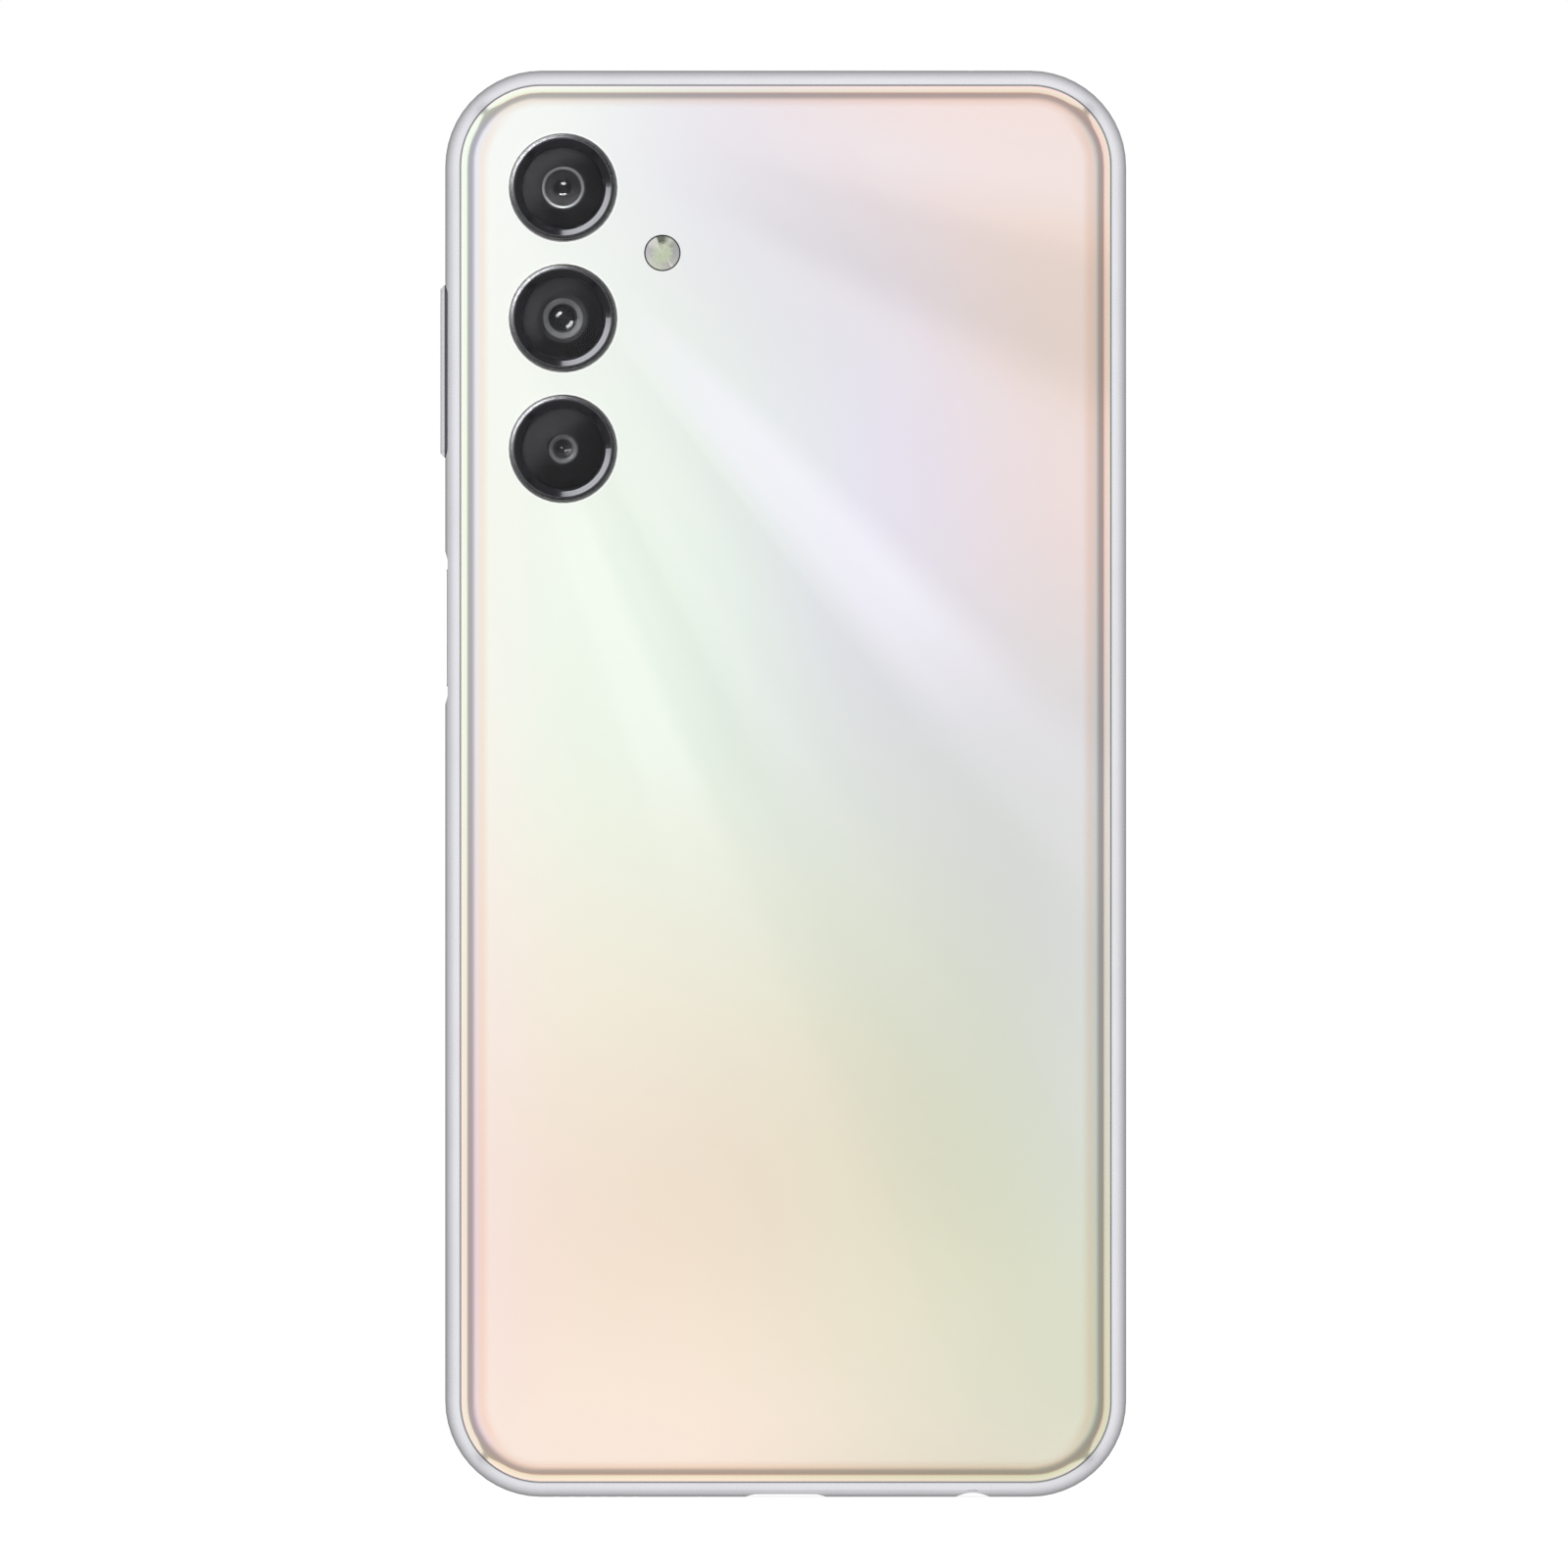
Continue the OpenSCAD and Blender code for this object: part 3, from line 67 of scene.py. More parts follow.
# ---------------------------------------------------------------- node helper
class Graph:
    """A material's node tree, with one short call for each kind of node."""

    def __init__(self, name, world=None):
        self.mat = None if world else bpy.data.materials.new(name)
        holder = world or self.mat
        holder.use_nodes = True
        self.tree = holder.node_tree
        self.tree.nodes.clear()
        kind = "ShaderNodeOutputWorld" if world else "ShaderNodeOutputMaterial"
        self.out = self.tree.nodes.new(kind)

    def node(self, kind, **props):
        n = self.tree.nodes.new(kind)
        for key, value in props.items():
            setattr(n, key, value)
        return n

    def put(self, socket, value):
        if value is None:
            return
        if isinstance(value, bpy.types.NodeSocket):
            self.tree.links.new(value, socket)
        elif isinstance(value, (tuple, list)) and len(value) == 3 and socket.type == "RGBA":
            socket.default_value = (*value, 1.0)
        else:
            socket.default_value = value

    def math(self, op, a, b=None, c=None, clamp=False):
        n = self.node("ShaderNodeMath", operation=op, use_clamp=clamp)
        for socket, value in zip(n.inputs, (a, b, c)):
            self.put(socket, value)
        return n.outputs[0]

    def vmath(self, op, a, b=None, scale=None):
        n = self.node("ShaderNodeVectorMath", operation=op)
        self.put(n.inputs[0], a)
        self.put(n.inputs[1], b)
        if scale is not None:
            self.put(n.inputs["Scale"], scale)
        return n.outputs[0]

    def remap(self, x, a, b, lo=0.0, hi=1.0, kind="SMOOTHSTEP"):
        n = self.node("ShaderNodeMapRange", interpolation_type=kind)
        for socket, value in zip(n.inputs[:5], (x, a, b, lo, hi)):
            self.put(socket, value)
        return n.outputs[0]

    def mix(self, factor, a, b, blend="MIX"):
        n = self.node("ShaderNodeMix", data_type="RGBA", blend_type=blend)
        self.put(n.inputs[0], factor)
        self.put(n.inputs[6], a)
        self.put(n.inputs[7], b)
        return n.outputs[2]

    def ramp(self, x, stops, kind="LINEAR"):
        """Colour or grey by position. Each stop is (position, grey or colour)."""
        n = self.node("ShaderNodeValToRGB")
        n.color_ramp.interpolation = kind
        while len(n.color_ramp.elements) < len(stops):
            n.color_ramp.elements.new(0.5)
        for e, (at, value) in zip(n.color_ramp.elements, stops):
            e.position = at
            e.color = (value, value, value, 1) if isinstance(value, (int, float)) else (*value, 1)
        self.put(n.inputs[0], x)
        return n.outputs[0]

    def noise(self, scale, detail=3.0, rough=0.5, vector=None):
        n = self.node("ShaderNodeTexNoise")
        n.inputs["Scale"].default_value = scale
        n.inputs["Detail"].default_value = detail
        n.inputs["Roughness"].default_value = rough
        self.put(n.inputs["Vector"], vector if vector is not None else self.place())
        return n.outputs[0]

    def place(self):
        """Place on the object in metres."""
        if not hasattr(self, "_place"):
            self._place = self.node("ShaderNodeTexCoord").outputs["Object"]
        return self._place

    def axes(self):
        """Place on the object in millimetres, as x, y, z."""
        if not hasattr(self, "_axes"):
            split = self.node("ShaderNodeSeparateXYZ")
            self.put(split.inputs[0], self.vmath("SCALE", self.place(), scale=1 / MM))
            self._axes = list(split.outputs)
        return self._axes

    def within(self, half_w, half_h, mid_z, corner_r):
        """Distance in millimetres inwards from a round-cornered outline, seen square on."""
        x, _, z = self.axes()
        qx = self.math("SUBTRACT", self.math("ABSOLUTE", x), half_w - corner_r)
        qz = self.math("ABSOLUTE", self.math("SUBTRACT", z, mid_z))
        qz = self.math("SUBTRACT", qz, half_h - corner_r)
        px = self.math("MAXIMUM", qx, 0.0)
        pz = self.math("MAXIMUM", qz, 0.0)
        far = self.math("SQRT", self.math("ADD", self.math("MULTIPLY", px, px), self.math("MULTIPLY", pz, pz)))
        near = self.math("MINIMUM", self.math("MAXIMUM", qx, qz), 0.0)
        return self.math("SUBTRACT", corner_r, self.math("ADD", far, near))

    def inset(self):
        """Distance in millimetres inwards from the phone's outline."""
        return self.within(HALF_W, HALF_H, HALF_H, CORNER_R)

    def round_about(self, centres):
        """Distance in millimetres from the nearest of some centres that share one x."""
        x, _, z = self.axes()
        level = None
        for _, cz in centres:
            gap = self.math("ABSOLUTE", self.math("SUBTRACT", z, cz))
            level = gap if level is None else self.math("MINIMUM", level, gap)
        dx = self.math("SUBTRACT", x, centres[0][0])
        square = self.math("ADD", self.math("MULTIPLY", dx, dx), self.math("MULTIPLY", level, level))
        return self.math("SQRT", square)

    def bump(self, height, strength, distance):
        n = self.node("ShaderNodeBump")
        n.inputs["Strength"].default_value = strength
        n.inputs["Distance"].default_value = distance
        self.put(n.inputs["Height"], height)
        return n.outputs[0]

    def surface(self, color, rough, metallic=0.0, normal=None, **sockets):
        s = self.node("ShaderNodeBsdfPrincipled")
        self.put(s.inputs["Base Color"], color)
        self.put(s.inputs["Roughness"], rough)
        self.put(s.inputs["Metallic"], metallic)
        self.put(s.inputs["Normal"], normal)
        for key, value in sockets.items():
            self.put(s.inputs[key.replace("_", " ")], value)
        self.put(self.out.inputs[0], s.outputs[0])
        return self.mat


def srgb(r, g, b):
    """Linear colour of an 8-bit display colour."""
    def one(v):
        v = v / 255
        return v / 12.92 if v < 0.04045 else ((v + 0.055) / 1.055) ** 2.4
    return (one(r), one(g), one(b))


# ---------------------------------------------------------------- materials
def speckled(name, color, rough, metallic=0.0, scale=900.0, spread=0.12, bump=0.0, **sockets):
    """Base finish with a fine mottle in colour and gloss, and a fine grain in relief."""
    g = Graph(name)
    grain = g.noise(scale, 4.0, 0.6)
    dark = tuple(c * (1 - spread) for c in color)
    light = tuple(min(1.0, c * (1 + spread)) for c in color)
    tint = g.mix(grain, dark, light)
    gloss = g.remap(g.noise(scale * 0.23, 3.0), 0.3, 0.7, rough * 0.85, min(1.0, rough * 1.15))
    normal = g.bump(grain, bump, 0.00002) if bump else None
    return g.surface(tint, gloss, metallic, normal, **sockets)


def pearl_cover():
    """Clear cover over a pearl film: soft patches of hue, pale rays from the camera corner and tinted rims."""
    g = Graph("pearl_cover")
    x, _, z = g.axes()
    patches = [  # centre x, z, reach x, z, weight, colour
        (-31, 145, 9, 30, 1.2, (250, 253, 249)),
        (-36, 84, 5, 30, 1.1, (250, 244, 236)),
        (-36, 36, 5, 26, 1.4, (250, 228, 228)),
        (-24, 96, 9, 34, 1.3, (234, 246, 229)),
        (-6, 88, 10, 26, 0.9, (229, 243, 229)),
        (-6, 152, 14, 9, 1.0, (233, 230, 243)),
        (2, 141, 11, 10, 0.9, (217, 217, 221)),
        (-12, 128, 10, 14, 0.8, (236, 242, 240)),
        (12, 112, 10, 20, 1.1, (229, 224, 242)),
        (20, 152, 13, 9, 1.1, (244, 221, 212)),
        (34, 152, 9, 10, 1.2, (238, 218, 206)),
        (31, 134, 9, 8, 1.1, (226, 211, 197)),
        (32, 114, 9, 16, 1.1, (240, 219, 212)),
        (16, 86, 12, 10, 0.9, (215, 219, 222)),
        (30, 72, 11, 18, 1.2, (212, 212, 221)),
        (36, 52, 5, 16, 1.1, (226, 228, 232)),
        (8, 66, 12, 14, 0.8, (221, 229, 210)),
        (-26, 58, 14, 12, 1.0, (248, 235, 216)),
        (-24, 34, 20, 15, 1.3, (244, 218, 200)),
        (2, 38, 14, 14, 0.8, (231, 219, 194)),
        (24, 38, 14, 26, 1.5, (206, 217, 190)),
        (-10, 13, 22, 9, 1.3, (255, 238, 220)),
        (-8, 3, 24, 5, 1.2, (255, 234, 220)),
        (14, 22, 12, 8, 0.8, (234, 231, 205)),
        (26, 10, 12, 7, 1.0, (214, 219, 198)),
        (20, 158, 12, 4, 1.0, (243, 211, 194)),
        (18, 3, 14, 3, 1.0, (220, 212, 190)),
        (34, 2, 3, 3, 1.2, (238, 242, 228)),
    ]
    total, weights = None, None
    for cx, cz, rx, rz, weight, color in patches:
        dx = g.math("DIVIDE", g.math("SUBTRACT", x, cx), rx * 1.5)
        dz = g.math("DIVIDE", g.math("SUBTRACT", z, cz), rz * 1.5)
        d2 = g.math("ADD", g.math("MULTIPLY", dx, dx), g.math("MULTIPLY", dz, dz))
        w = g.math("MULTIPLY", g.math("EXPONENT", g.math("MULTIPLY", d2, -1.0)), weight)
        part = g.vmath("SCALE", srgb(*color), scale=w)
        total = part if total is None else g.vmath("ADD", total, part)
        weights = w if weights is None else g.math("ADD", weights, w)
    film = g.vmath("SCALE", total, scale=g.math("DIVIDE", 1.0, g.math("ADD", weights, 1e-5)))

    # rays fan out from a point beyond the top left corner
    ray_x, ray_z = -44.7, 163.2
    dx = g.math("SUBTRACT", x, ray_x)
    dz = g.math("SUBTRACT", ray_z, z)
    angle = g.math("MULTIPLY", g.math("ARCTAN2", dz, dx), 180 / math.pi)
    reach = g.math("SQRT", g.math("ADD", g.math("MULTIPLY", dx, dx), g.math("MULTIPLY", dz, dz)))
    sweep = g.math("DIVIDE", angle, 90.0)
    shade = g.ramp(sweep, [
        (0.0, 0.62), (0.11, 0.66), (0.2, 0.42), (0.26, 0.4), (0.33, 0.56), (0.42, 0.5), (0.475, 0.5),
        (0.515, 0.86), (0.54, 0.8), (0.58, 0.46), (0.64, 0.5), (0.665, 0.57), (0.70, 0.47), (0.73, 0.50),
        (0.754, 0.80), (0.776, 0.78), (0.80, 0.60), (0.83, 0.54), (0.90, 0.56), (1.0, 0.5)], "EASE")
    tail = g.remap(reach, 80, 106, 1.0, 0.32)
    fade = g.math("MULTIPLY", g.math("MULTIPLY", g.remap(reach, 30, 62), g.remap(reach, 190, 130)), tail)
    push = g.math("MULTIPLY", g.math("SUBTRACT", shade, 0.5), fade)
    lit = g.math("MULTIPLY", g.math("MAXIMUM", push, 0.0), 1.7, clamp=True)
    dim = g.math("MULTIPLY", g.math("MINIMUM", push, 0.0), 0.9)
    ray = g.mix(g.remap(sweep, 0.6, 0.7), srgb(247, 246, 255), srgb(248, 255, 246))
    film = g.mix(lit, film, g.mix(g.remap(z, 92, 42), ray, srgb(246, 236, 214)))
    film = g.vmath("SCALE", film, scale=g.math("ADD", 1.0, dim))
    film = g.vmath("MINIMUM", g.vmath("MULTIPLY", film, (1.04, 1.03, 1.02)), (1.0, 1.0, 1.0))

    # tinted bands round the rolled edge, in a different order on each side
    inset = g.inset()
    band_start, band_width = 1.7, 3.6
    band = g.math("DIVIDE", g.math("SUBTRACT", inset, band_start), band_width)
    left = g.ramp(band, [
        (0.03, srgb(252, 252, 250)), (0.18, srgb(242, 250, 238)), (0.25, srgb(238, 240, 236)),
        (0.38, srgb(232, 230, 248)), (0.52, srgb(246, 242, 254)), (0.70, srgb(252, 240, 234)),
        (0.98, srgb(255, 255, 255))], "EASE")
    right = g.ramp(band, [
        (0.03, srgb(240, 252, 234)), (0.14, srgb(250, 240, 232)), (0.27, srgb(244, 226, 218)),
        (0.36, srgb(228, 226, 230)), (0.50, srgb(232, 236, 232)), (0.66, srgb(246, 234, 226)),
        (0.98, srgb(255, 255, 255))], "EASE")
    ends = g.ramp(band, [
        (0.03, srgb(252, 250, 254)), (0.12, srgb(254, 248, 240)), (0.20, srgb(236, 248, 226)),
        (0.26, srgb(250, 232, 220)), (0.36, srgb(238, 232, 230)), (0.48, srgb(250, 238, 230)),
        (0.75, srgb(255, 255, 255))], "EASE")
    side = g.mix(g.remap(x, -8, 8), left, right)
    level = g.math("ABSOLUTE", g.math("SUBTRACT", z, HALF_H))
    rim = g.mix(g.remap(g.math("SUBTRACT", level, g.math("ABSOLUTE", x)), 38.0, 46.0), side, ends)
    film = g.mix(1.0, film, rim, "MULTIPLY")
    # painted shade in the seam where the cover meets the frame, and a painted highlight round the cut edge of each
    # camera opening
    film = g.vmath("SCALE", film, scale=g.remap(inset, 1.84, 1.93, 0.55, 1.0))
    opening = g.round_about(RINGS)
    # a whiter band round each camera opening: painted highlight on its cut edge
    opening_highlight = g.math("MULTIPLY", g.remap(opening, 6.16, 6.22), g.remap(opening, 6.42, 6.34))
    film = g.mix(g.math("MULTIPLY", opening_highlight, 0.8), film, srgb(254, 255, 252))
    flake = g.remap(g.noise(9000.0, 1.0), 0.25, 0.75, 0.985, 1.015, "LINEAR")
    film = g.vmath("SCALE", film, scale=flake)
    gloss = g.remap(g.noise(300.0, 2.0), 0.3, 0.7, 0.10, 0.13)
    return g.surface(film, gloss, 0.92, Coat_Weight=1.0, Coat_Roughness=0.03, Coat_IOR=1.45)


def silver_frame(name="silver_frame", gap=0.0):
    """Satin lacquered silver with painted shade in the seam where it meets the cover; a key is painted dark below
    its gap, a painted shadow in the gap.
    """
    g = Graph(name)
    x, y, _ = g.axes()
    cloud = g.remap(g.noise(160.0, 3.0), 0.3, 0.7, 0.97, 1.0)
    tint = g.vmath("SCALE", srgb(229, 229, 232), scale=cloud)
    metallic = 0.95
    if gap:
        metallic = 0.2
        # painted shadow in the gap between key and frame: the key darker below the gap
        gap_shade = g.remap(g.math("ABSOLUTE", x), gap - 0.06, gap, 0.12, 1.0)
        tint = g.vmath("SCALE", tint, scale=gap_shade)
    else:
        # painted shade in the seam where the frame meets the cover
        seam_shade = g.remap(g.inset(), 1.62, 1.74, 0.0, 0.6)
        seam_shade = g.math("MULTIPLY", seam_shade, g.remap(y, -2.0, -2.6))
        tint = g.vmath("SCALE", tint, scale=g.math("SUBTRACT", 1.0, seam_shade))
    grain = g.noise(5200.0, 2.0)
    gloss = g.remap(grain, 0.3, 0.7, 0.24, 0.28)
    return g.surface(tint, gloss, metallic, g.bump(grain, 0.01, 0.000005))


def dark_ring():
    """Dark turned metal round each lens: from the middle out a black bevel, a dark slope and a mottled rim,
    crossed by a painted dark band that stands in for the shade of a fine groove. Each step is at a radius in
    millimetres."""
    g = Graph("dark_ring")
    away = g.round_about(RINGS)
    marks = g.remap(g.noise(5200.0, 2.0, 0.6), 0.35, 0.65)
    rim = g.mix(marks, srgb(100, 100, 102), srgb(132, 131, 132))
    # painted shade: a dark band at 5.88 to 5.98 mm in place of the shade in a fine groove
    rim = g.mix(g.remap(away, 5.88, 5.91), rim, srgb(60, 60, 61))
    rim = g.mix(g.remap(away, 5.96, 6.0), rim, srgb(128, 128, 128))
    slope = g.mix(marks, srgb(46, 46, 48), srgb(62, 62, 64))
    body = g.mix(g.remap(away, 5.77, 5.83), slope, rim)
    bevel = g.remap(away, 5.42, 5.50)
    tint = g.mix(bevel, srgb(42, 42, 44), body)
    gloss = g.remap(bevel, 0.0, 1.0, 0.17, 0.27)
    return g.surface(tint, gloss, 1.0)


def window_glass():
    """Coated glass that hardly reflects, hence the low index."""
    g = Graph("window_glass")
    coat = g.mix(g.noise(420.0, 3.0), (0.95, 0.96, 0.98), (0.99, 0.99, 1.0))
    return g.surface(coat, 0.0, 0.0, IOR=1.12, Transmission_Weight=1.0)


def active_area(g):
    """1 where the display can light up: a round-cornered area with a notch round the front camera."""
    side_border, top_border, chin, round_r, notch_r = 1.0, 0.5, 1.9, 8.0, 3.1
    (low_x, _, low_z), (high_x, _, high_z) = (tuple(v / MM for v in corner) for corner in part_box("display_panel"))
    half_w = (high_x - low_x) / 2 - side_border
    half_h = (high_z - low_z) / 2 - (chin + top_border) / 2
    mid_z = (high_z + low_z) / 2 + (chin - top_border) / 2
    inside = g.within(half_w, half_h, mid_z, round_r)
    x, _, z = g.axes()
    below = g.math("MAXIMUM", g.math("SUBTRACT", FRONT_CAM[1], z), 0.0)
    side = g.math("SQRT", g.math("ADD", g.math("MULTIPLY", x, x), g.math("MULTIPLY", below, below)))
    inside = g.math("MINIMUM", inside, g.math("SUBTRACT", side, notch_r))
    return g.remap(inside, 0.0, 0.12)


def screen_glass():
    """Clear glass with a black printed border that leaves the display and the front camera open."""
    g = Graph("screen_glass")
    smear = g.remap(g.noise(130.0, 4.0, 0.6), 0.35, 0.75, 0.01, 0.05)
    eye = g.remap(g.round_about([FRONT_CAM]), FRONT_CAM_R + 0.05, FRONT_CAM_R - 0.05)
    clear = g.math("MAXIMUM", active_area(g), eye)
    tint = g.mix(clear, (0.0015, 0.0015, 0.0018), (0.9, 0.92, 0.95))
    return g.surface(tint, smear, 0.0, IOR=1.5, Transmission_Weight=clear)


def screen_panel():
    """Switched-off display with its fine grid of cells, blacker outside the active area."""
    g = Graph("screen_panel")
    grid = g.node("ShaderNodeTexVoronoi", distance="CHEBYCHEV")
    grid.inputs["Scale"].default_value = 12000.0
    g.put(grid.inputs["Vector"], g.place())
    cell = g.mix(grid.outputs[0], (0.010, 0.011, 0.014), (0.016, 0.017, 0.021))
    return g.surface(g.mix(active_area(g), (0.0025, 0.0025, 0.003), cell), 0.32, 0.0, Specular_IOR_Level=0.3)


def black_print():
    """Ink printed under a camera window, black, with a painted reflection of the upper-left light that turns it
    graphite towards the upper left.
    """
    g = Graph("black_print")
    x, _, z = g.axes()
    pitch = RINGS[0][1] - RINGS[1][1]
    # painted reflection: the ink lighter grey towards the upper left of each window
    up = g.math("WRAP", g.math("SUBTRACT", z, RINGS[1][1]), pitch / 2, -pitch / 2)
    lean = g.math("SUBTRACT", up, g.math("SUBTRACT", x, RINGS[0][0]))
    grain = g.remap(g.noise(5200.0, 2.0), 0.3, 0.7, -0.6, 0.6)
    painted_reflection = g.remap(g.math("ADD", lean, grain), -1.0, 3.4)
    return g.surface(g.mix(painted_reflection, (0.0012, 0.0012, 0.0014), (0.0120, 0.0119, 0.0124)), 0.5, 0.0,
                     Specular_IOR_Level=0.04)


def lens_coat():
    """Coated optical glass, nearly black, with a faint violet bloom."""
    g = Graph("lens_coat")
    bloom = g.mix(g.noise(700.0, 2.0), (0.0006, 0.0006, 0.0009), (0.0012, 0.0010, 0.0016))
    return g.surface(bloom, 0.0, 0.0, IOR=1.5, Specular_IOR_Level=0.3)


def lens_rim(name, dark, light):
    """Turned edge of a lens barrel."""
    g = Graph(name)
    marks = g.noise(3800.0, 3.0)
    tint = g.mix(marks, srgb(dark, dark, dark), srgb(light, light, light))
    return g.surface(tint, g.remap(marks, 0.3, 0.7, 0.32, 0.42), 1.0, g.bump(marks, 0.05, 0.00001))


def battery_wrap():
    """Creased black film round the cell."""
    g = Graph("battery_wrap")
    fold = g.noise(240.0, 5.0, 0.65)
    tint = g.mix(fold, (0.018, 0.018, 0.02), (0.045, 0.045, 0.05))
    return g.surface(tint, 0.36, 0.2, g.bump(fold, 0.2, 0.0002))


def circuit_board():
    """Solder resist in small fields with gilt lines between them."""
    g = Graph("circuit_board")
    tiles = g.node("ShaderNodeTexBrick")
    tiles.inputs["Scale"].default_value = 420.0
    for i, c in ((1, (0.01, 0.05, 0.09, 1)), (2, (0.012, 0.07, 0.11, 1)), (3, (0.3, 0.22, 0.08, 1))):
        tiles.inputs[i].default_value = c
    tiles.inputs["Mortar Size"].default_value = 0.012
    g.put(tiles.inputs["Vector"], g.place())
    return g.surface(tiles.outputs[0], 0.42, 0.1, g.bump(tiles.outputs[1], 0.2, 0.00003))


def copper_coil():
    """Copper turns on a dark sheet, parallel to the phone's outline."""
    g = Graph("antenna_copper")
    turns = g.math("SINE", g.math("MULTIPLY", g.inset(), 9.0))
    tint = g.mix(g.remap(turns, -0.2, 0.2), (0.02, 0.02, 0.022), (0.62, 0.27, 0.11))
    return g.surface(tint, 0.34, 0.8)


def mesh_metal():
    """Woven grille wire."""
    g = Graph("mesh_metal")
    weave = g.node("ShaderNodeTexChecker")
    weave.inputs["Scale"].default_value = 9000.0
    weave.inputs[1].default_value = (0.10, 0.10, 0.105, 1)
    weave.inputs[2].default_value = (0.012, 0.012, 0.013, 1)
    g.put(weave.inputs["Vector"], g.place())
    return g.surface(weave.outputs[0], 0.4, 0.7, g.bump(weave.outputs[1], 0.4, 0.00003))


def brushed(name, color, rough, along, metallic=1.0):
    """Sheet metal with fine lines along one axis."""
    g = Graph(name)
    stretch = [2600.0] * 3
    stretch[along] = 60.0
    lines = g.noise(1.0, 3.0, 0.6, g.vmath("MULTIPLY", g.place(), tuple(stretch)))
    tint = g.mix(lines, tuple(c * 0.86 for c in color), color)
    gloss = g.remap(lines, 0.3, 0.7, rough * 0.8, rough * 1.2)
    return g.surface(tint, gloss, metallic, g.bump(lines, 0.08, 0.00002))


def flash_plastic():
    """Pale yellow-green lens over the phosphor, with painted highlights and painted shade by facet."""
    g = Graph("flash_plastic")
    x, _, z = g.axes()
    dx, dz = g.math("SUBTRACT", x, FLASH[0]), g.math("SUBTRACT", z, FLASH[1])
    angle = g.math("ADD", g.math("DIVIDE", g.math("ARCTAN2", dz, dx), 2 * math.pi), 0.5)
    # lens tint by angle round the flash, with painted highlights at the pale stops and painted shade at the dark
    # stops on the facets
    ring = g.ramp(angle, [
        (0.0, srgb(206, 203, 206)), (0.10, srgb(222, 226, 208)), (0.22, srgb(216, 220, 200)),
        (0.33, srgb(196, 192, 190)), (0.345, srgb(246, 240, 228)), (0.37, srgb(206, 206, 196)),
        (0.50, srgb(184, 182, 186)), (0.62, srgb(178, 180, 166)), (0.665, srgb(220, 226, 208)),
        (0.715, srgb(150, 152, 140)), (0.735, srgb(92, 96, 80)), (0.80, srgb(96, 100, 84)),
        (0.815, srgb(240, 238, 230)), (0.90, srgb(236, 234, 228)), (0.94, srgb(206, 203, 206))])
    away = g.round_about([FLASH])
    # painted glints: bright wedges on the facets near the middle
    painted_glints = g.ramp(angle, [
        (0.0, 0.0), (0.66, 0.0), (0.68, 0.7), (0.72, 0.0), (0.82, 0.0), (0.84, 0.8), (0.88, 0.7), (0.91, 0.0)])
    core_and_glints = g.mix(painted_glints, srgb(220, 230, 200), srgb(250, 246, 234))
    grain = g.noise(2600.0, 2.0)
    tint = g.mix(g.remap(g.math("ADD", away, g.remap(grain, 0.3, 0.7, -0.15, 0.15)), 0.75, 1.45), core_and_glints, ring)
    return g.surface(tint, g.remap(grain, 0.3, 0.7, 0.10, 0.16), 0.0, Coat_Weight=1.0, Coat_Roughness=0.03)


slots = {
    "pearl_cover": pearl_cover(),
    "silver_frame": silver_frame(),
    "dark_ring": dark_ring(),
    "window_glass": window_glass(),
    "screen_glass": screen_glass(),
    "screen_panel": screen_panel(),
    "battery_wrap": battery_wrap(),
    "circuit_board": circuit_board(),
    "antenna_copper": copper_coil(),
    "mesh_metal": mesh_metal(),
    "flash_plastic": flash_plastic(),
    "black_trim": speckled("black_trim", (0.012, 0.012, 0.013), 0.42, scale=2600.0, spread=0.3, bump=0.1),
    "camera_black": speckled("camera_black", (0.004, 0.004, 0.0045), 0.46, scale=3200.0, spread=0.3, bump=0.1,
                             Specular_IOR_Level=0.25),
    "phosphor": speckled("phosphor", (0.86, 0.80, 0.24), 0.6, scale=5200.0, spread=0.1, bump=0.2),
    "sensor_face": speckled("sensor_face", srgb(186, 187, 193), 0.24, 0.7, scale=4000.0, spread=0.04),
    "bright_steel": brushed("bright_steel", srgb(206, 206, 208), 0.28, 0),
    "cast_plate": speckled("cast_plate", srgb(168, 169, 172), 0.48, 0.9, scale=700.0, spread=0.08, bump=0.3),
    "adhesive": speckled("adhesive", (0.010, 0.010, 0.011), 0.6, scale=1500.0, spread=0.25, bump=0.2),
    "pull_strip": speckled("pull_strip", (0.62, 0.62, 0.60), 0.5, scale=900.0, spread=0.06, bump=0.1),
    "black_plastic": speckled("black_plastic", (0.014, 0.014, 0.015), 0.5, scale=2400.0, spread=0.3, bump=0.2),
    "chip_black": speckled("chip_black", (0.02, 0.02, 0.021), 0.55, scale=5000.0, spread=0.2, bump=0.2),
    "flex_amber": speckled("flex_amber", (0.16, 0.06, 0.012), 0.35, scale=1300.0, spread=0.15),
    "graphite": speckled("graphite", (0.035, 0.035, 0.037), 0.4, 0.4, scale=600.0, spread=0.2, bump=0.1),
    "seal_rubber": speckled("seal_rubber", (0.30, 0.06, 0.05), 0.6, scale=2200.0, spread=0.15, bump=0.2),
    "motor_weight": brushed("motor_weight", (0.36, 0.36, 0.38), 0.36, 1),
}
ink = black_print()
coated = lens_coat()
rims = {"upper": lens_rim("lens_rim_bright", 104, 134), "middle": lens_rim("lens_rim_mid", 68, 94),
        "lower": lens_rim("lens_rim_dim", 62, 84)}
baffle_black = speckled("baffle_black", (0.0012, 0.0012, 0.0013), 0.5, scale=3200.0, spread=0.3, bump=0.1,
                        Specular_IOR_Level=0.2)
key_finish = silver_frame("silver_key", gap=38.69)

for name, obj in nodes.items():
    for slot in obj.material_slots:
        base = slot.material.name.split(".")[0]
        slot.material = key_finish if name == "volume_key" else slots[base]


